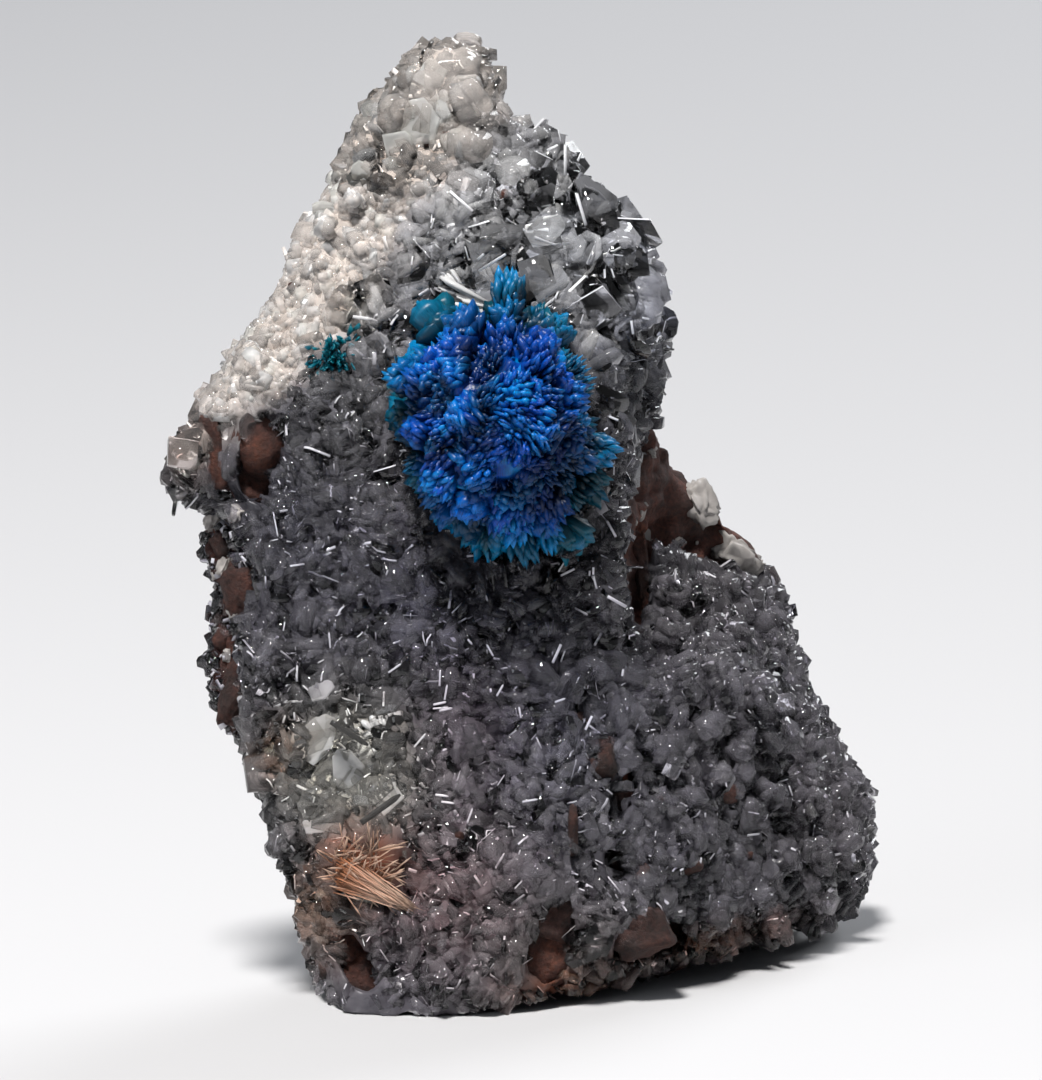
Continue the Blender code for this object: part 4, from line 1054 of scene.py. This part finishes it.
def fan_blades(root, heading, side, other, reach, depth, spread, blades, layers, chance):
    """Blades in fans: a fan is a few layers, and in each the blades lie side by side and splay from its root.

    The blades towards a fan's two sides, and those of its outer layers, are shorter, so that its crest is
    domed. Returns the arrays for spikes.
    """
    each = blades * layers
    count = len(root) * each
    reach = np.repeat(reach, each)
    depth = np.repeat(depth, each)
    root, heading, side, other = (np.repeat(array, each, axis=0) for array in (root, heading, side, other))
    place = np.tile(np.tile((np.arange(blades) + 0.5) / blades * 2 - 1, layers), count // each)
    layer = np.tile(np.repeat((np.arange(layers) + 0.5) / layers * 2 - 1, blades), count // each)
    place = place + chance.normal(0, 0.7 / blades, count)
    angle = spread * place
    along = heading * np.cos(angle)[:, None] + side * np.sin(angle)[:, None]
    along = unit(along + other * (LAYER_SPREAD * layer + chance.normal(0, 0.09, count))[:, None])
    dome = (1 - 0.24 * place ** 2) * (1 - 0.20 * layer ** 2)
    length = reach * dome * chance.uniform(0.66, 1.0, count)
    origin = root + other * (depth * layer * 0.5)[:, None]
    flat = unit(np.cross(along, side + 0.16 * chance.normal(0, 1, side.shape)))
    across = np.cross(flat, along)
    coarse = np.repeat(chance.uniform(*FAN_COARSENESS, len(reach) // each), each)
    wide = 2 * spread / blades * reach * chance.uniform(0.8, 2.3, count) * coarse
    thick = (depth + 2 * LAYER_SPREAD * reach) / layers * chance.uniform(0.9, 1.4, count) * coarse
    return origin, along, across, wide, length, thick


def lobes(directions):
    """1 along the crests of the rosette's lobes, less beside them: one less twice smooth noise's height."""
    return 1 - 2 * np.abs(lumps(directions * 3 + 20, 1.3, 71))


def painted_lobe_shading(tint, directions, dark, more):
    """Painted shade and highlight: a tint made dark in the clefts between the lobes, and lighter by more on
    their crests.
    """
    return tint * (dark + more * smooth_step(lobes(directions), -0.3, 0.6))[:, None]


def ball_reach(directions):
    """How far the rosette reaches in each direction of its own axes, in mm.

    It is an ellipsoid whose half size round the rim follows BALL_RIM, made uneven by lobes and clefts.
    """
    angles, reaches = (np.array(column, float) for column in zip(*BALL_RIM))
    turn = np.degrees(np.arctan2(directions[:, 2], directions[:, 0]))
    rim = np.interp(turn, angles, reaches, period=360)
    flat = np.linalg.norm(directions[:, [0, 2]], axis=1)
    whole = 1 / np.sqrt((flat / rim) ** 2 + (directions[:, 1] / BALL_DEPTH) ** 2)
    return whole * (0.89 + 0.10 * lobes(directions) + 0.05 * lumps(directions * 3 + 20, 0.6, 72))


chance = np.random.default_rng(7)
heading = unit(even_directions(BALL_FANS) + chance.normal(0, 0.08, (BALL_FANS, 3)))
heading = heading[heading[:, 1] > -0.35]
fans = len(heading)
at_rim = smooth_step(1 - heading[:, 1], 0.55, 1.0)
stretch = 1 + 0.06 * at_rim + 0.05 * (1 + at_rim) * chance.normal(0, 1, fans)
whole = heading * (ball_reach(heading) * stretch)[:, None]
reach = np.linalg.norm(whole, axis=1)
heading = unit(whole @ ball_axes)
side = unit(np.cross(heading, np.array(CREST_POLE) + chance.normal(0, 0.85, (fans, 3))))
other = np.cross(heading, side)
blade_arrays = fan_blades(
    BALL_MIDDLE + heading * (reach * FAN_ROOT)[:, None], heading, side, other, reach * (1 - FAN_ROOT),
    chance.uniform(0.35, 0.9, fans), FAN_SPREAD, FAN_BLADES, FAN_LAYERS, chance,
)
points, faces, grain = spikes(*blade_arrays, chance)
blade_corners = 2 * len(BLADE_SECTION) + 2
out_share = (unit(blade_arrays[0] - BALL_MIDDLE) @ ball_axes.T)[:, 1]
edge_share = smooth_step(1 - out_share, 0.42, 1.0)[:, None]
tint = DEEP_BLUE * (1 - edge_share) + GREEN_BLUE * edge_share
pale = np.repeat(chance.normal(0.16, 0.22, fans), FAN_BLADES * FAN_LAYERS)
pale = np.clip(pale + chance.normal(0, 0.10, len(pale)), 0, 0.85)
tint = np.repeat(tint, blade_corners, axis=0)
up_blade = np.repeat(np.array([0.1, 0.75, 1.6]), (len(BLADE_SECTION), len(BLADE_SECTION), 2))
pale = np.clip((pale[:, None] * up_blade).reshape(-1, 1), 0, 0.9)
tint = tint * (1 - pale) + SKY_BLUE * pale
toward_tip = np.linalg.norm(points - BALL_MIDDLE, axis=1)
crest_reach = np.repeat(np.repeat(reach, FAN_BLADES * FAN_LAYERS), blade_corners)
# painted shade: each blade darkens towards its root, deep among the others
tint = tint * (0.12 + 0.88 * smooth_step(toward_tip / crest_reach, 0.70, 0.97))[:, None]
tint = painted_lobe_shading(tint, unit(points - BALL_MIDDLE) @ ball_axes.T, 0.30, 0.80)


def cavansite_material(name, transmission):
    """Glassy blue cavansite, a little see-through, with fine lengthwise grooves along each blade."""
    material, tree, shader = new_material(name)
    tint = added(tree, "Attribute", "Color", {}, attribute_name="tint")
    along = added(tree, "UVMap", "UV", {}, uv_map="grain")
    stretch = added(tree, "Mapping", "Vector", {"Vector": along, "Scale": (22.0, 2.0, 1.0)})
    groove = added(tree, "TexNoise", "Fac", {"Vector": stretch, "Scale": 1.0, "Detail": 3.0})
    light = added(tree, "MapRange", "Result", {
        "Value": groove, "From Min": 0.3, "From Max": 0.7, "To Min": 0.6, "To Max": 1.35,
    })
    shaded = added(tree, "Mix", "Result", {"Factor": 1.0, "A": tint, "B": light},
                   data_type="RGBA", blend_type="MULTIPLY")
    gloss = added(tree, "MapRange", "Result", {"Value": groove, "To Min": 0.16, "To Max": 0.52})
    bump = added(tree, "Bump", "Normal", {"Strength": 0.35, "Distance": 0.00003, "Height": groove})
    feed(tree, shader, {
        "Base Color": shaded, "Roughness": gloss, "Normal": bump, "Transmission Weight": transmission,
        "IOR": 1.55, "Specular IOR Level": 0.22,
    })
    return material


blade_material = cavansite_material("cavansite_blade", 0.20)
ball = new_piece("cavansite_blades", points, faces, blade_material, tint=tint, grain=grain)
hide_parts("cavansite_ball")
heart_points, heart_faces = finer_copy("cavansite_ball", HEART_CELL, 6)
heart_way = unit(heart_points - BALL_MIDDLE)
own_way = heart_way @ ball_axes.T
uneven = 0.85 + 0.05 * lumps(heart_points, 0.5, 73) + 0.03 * lumps(heart_points, 0.25, 74)
rim_way = np.linalg.norm(own_way[:, [0, 2]], axis=1)
kept = np.minimum(ball_reach(own_way), HEART_REACH) * (uneven - 0.12 * rim_way ** 2)
heart_points = BALL_MIDDLE + heart_way * kept[:, None]
sky_share = smooth_step(lumps(heart_points, 1.2, 75) + lumps(heart_points, 0.4, 76), 0.1, 1.2)[:, None]
# the heart gets the same painted shade in the clefts and painted highlight on the crests
heart_tint = painted_lobe_shading(DEEP_BLUE * (1 - sky_share) + SKY_BLUE * sky_share, own_way, 0.1, 0.5)
heart_material = cavansite_material("cavansite_heart", 0.0)
new_piece(
    "cavansite_heart", heart_points, [heart_faces], heart_material, tint=heart_tint,
    grain=heart_points[:, [0, 2]],
)

# The small cavansite tuft left of the rosette: short green-blue blades, drawn out along a slope.
# They are the rosette's mineral, and root in the same crust.
TUFT_BLADES = 170
TUFT_LENGTH = (0.25, 0.6)
tuft_low, tuft_high = (np.array(corner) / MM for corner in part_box("cavansite_tuft"))
tuft_middle = (tuft_low + tuft_high) / 2
tuft_half = (tuft_high - tuft_low) / 2
chance = np.random.default_rng(17)
shift = np.clip(chance.normal(0, 0.36, (TUFT_BLADES, 3)), -0.8, 0.8) * tuft_half
shift[:, 2] += 0.45 * shift[:, 0]  # the tuft is drawn out along a slope
root = tuft_middle + shift + np.array([0, tuft_half[1] * 0.8, 0])
along = unit(shift * (0.9, 0.0, 0.9) + np.array([0, -0.75, 0]) + chance.normal(0, 0.30, (TUFT_BLADES, 3)))
across = unit(np.cross(along, chance.normal(0, 1, (TUFT_BLADES, 3))))
length = chance.uniform(*TUFT_LENGTH, TUFT_BLADES)
points, faces, grain = spikes(root, along, across, length * 0.50, length, length * 0.18, chance)
share = chance.uniform(0, 1, (TUFT_BLADES, 1))
tint = np.repeat(GREEN_BLUE * 0.7 * (1 - share) + np.array([0.0, 0.20, 0.26]) * share, blade_corners, axis=0)
tuft = new_piece("cavansite_tuft_blades", points, faces, blade_material, tint=tint, grain=grain)
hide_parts("cavansite_tuft")

# The stilbite sheaf: fine peach fibres that run together to one end like tied corn, paler at their tips,
# and a spray of shorter ones beside it. It lies low on the left of the face, grown onto the crust.
SHEAF_FIBRES = 320
SPRAY_FIBRES = 130
SHEAF_PEACH = np.array([0.58, 0.22, 0.10])
SHEAF_PALE = np.array([0.86, 0.64, 0.50])
SHEAF_ROOT = np.array([-8.1, -9.9, 6.5])  # middle of the broad end
SHEAF_TIP = np.array([-5.1, -10.5, 5.0])  # where the sheaf is tied together
SHEAF_HALF = (0.5, 0.25, 0.75)  # half size of the broad end
SPRAY_ROOT = np.array([-7.6, -9.9, 6.6])  # shorter fibres spray up from here
SPRAY_HALF = (1.3, 0.2, 1.0)
SPRAY_REACH = (0.5, 1.7)
chance = np.random.default_rng(27)
bundle_root = SHEAF_ROOT + chance.uniform(-1, 1, (SHEAF_FIBRES, 3)) * SHEAF_HALF
bundle_tip = SHEAF_TIP + chance.normal(0, 0.16, (SHEAF_FIBRES, 3))
bundle_length = np.linalg.norm(bundle_tip - bundle_root, axis=1) * chance.uniform(0.55, 1.04, SHEAF_FIBRES)
spray_root = SPRAY_ROOT + chance.uniform(-1, 1, (SPRAY_FIBRES, 3)) * SPRAY_HALF
spray_turn = np.radians(chance.normal(40, 55, SPRAY_FIBRES))
spray = np.column_stack([np.cos(spray_turn), chance.uniform(-0.45, 0.05, SPRAY_FIBRES), np.sin(spray_turn)])
root = np.concatenate([bundle_root, spray_root])
along = unit(np.concatenate([bundle_tip - bundle_root, spray]))
length = np.concatenate([bundle_length, chance.uniform(*SPRAY_REACH, SPRAY_FIBRES)])
fibres = SHEAF_FIBRES + SPRAY_FIBRES
across = unit(np.cross(along, chance.normal(0, 1, (fibres, 3))))
thin = chance.uniform(0.03, 0.08, fibres)
points, faces, grain = spikes(root, along, across, thin * 1.5, length, thin, chance)
root_tint = SHEAF_PEACH * chance.uniform(0.45, 1.3, (fibres, 1))
root_tint[SHEAF_FIBRES:] *= 0.8
tip_tint = root_tint * 0.35 + SHEAF_PALE * 0.65
ring = len(BLADE_SECTION)
both_tints = [np.repeat(root_tint[:, None], ring, 1), np.repeat(tip_tint[:, None], ring + 2, 1)]
tint = np.concatenate(both_tints, axis=1).reshape(-1, 3)
sheaf_material = crystal_material("stilbite", 0.25, 0.30, 0.2, 3.0)
sheaf = new_piece("stilbite_fibres", points, faces, sheaf_material, tint=tint, grain=grain)
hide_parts("stilbite_sheaf")
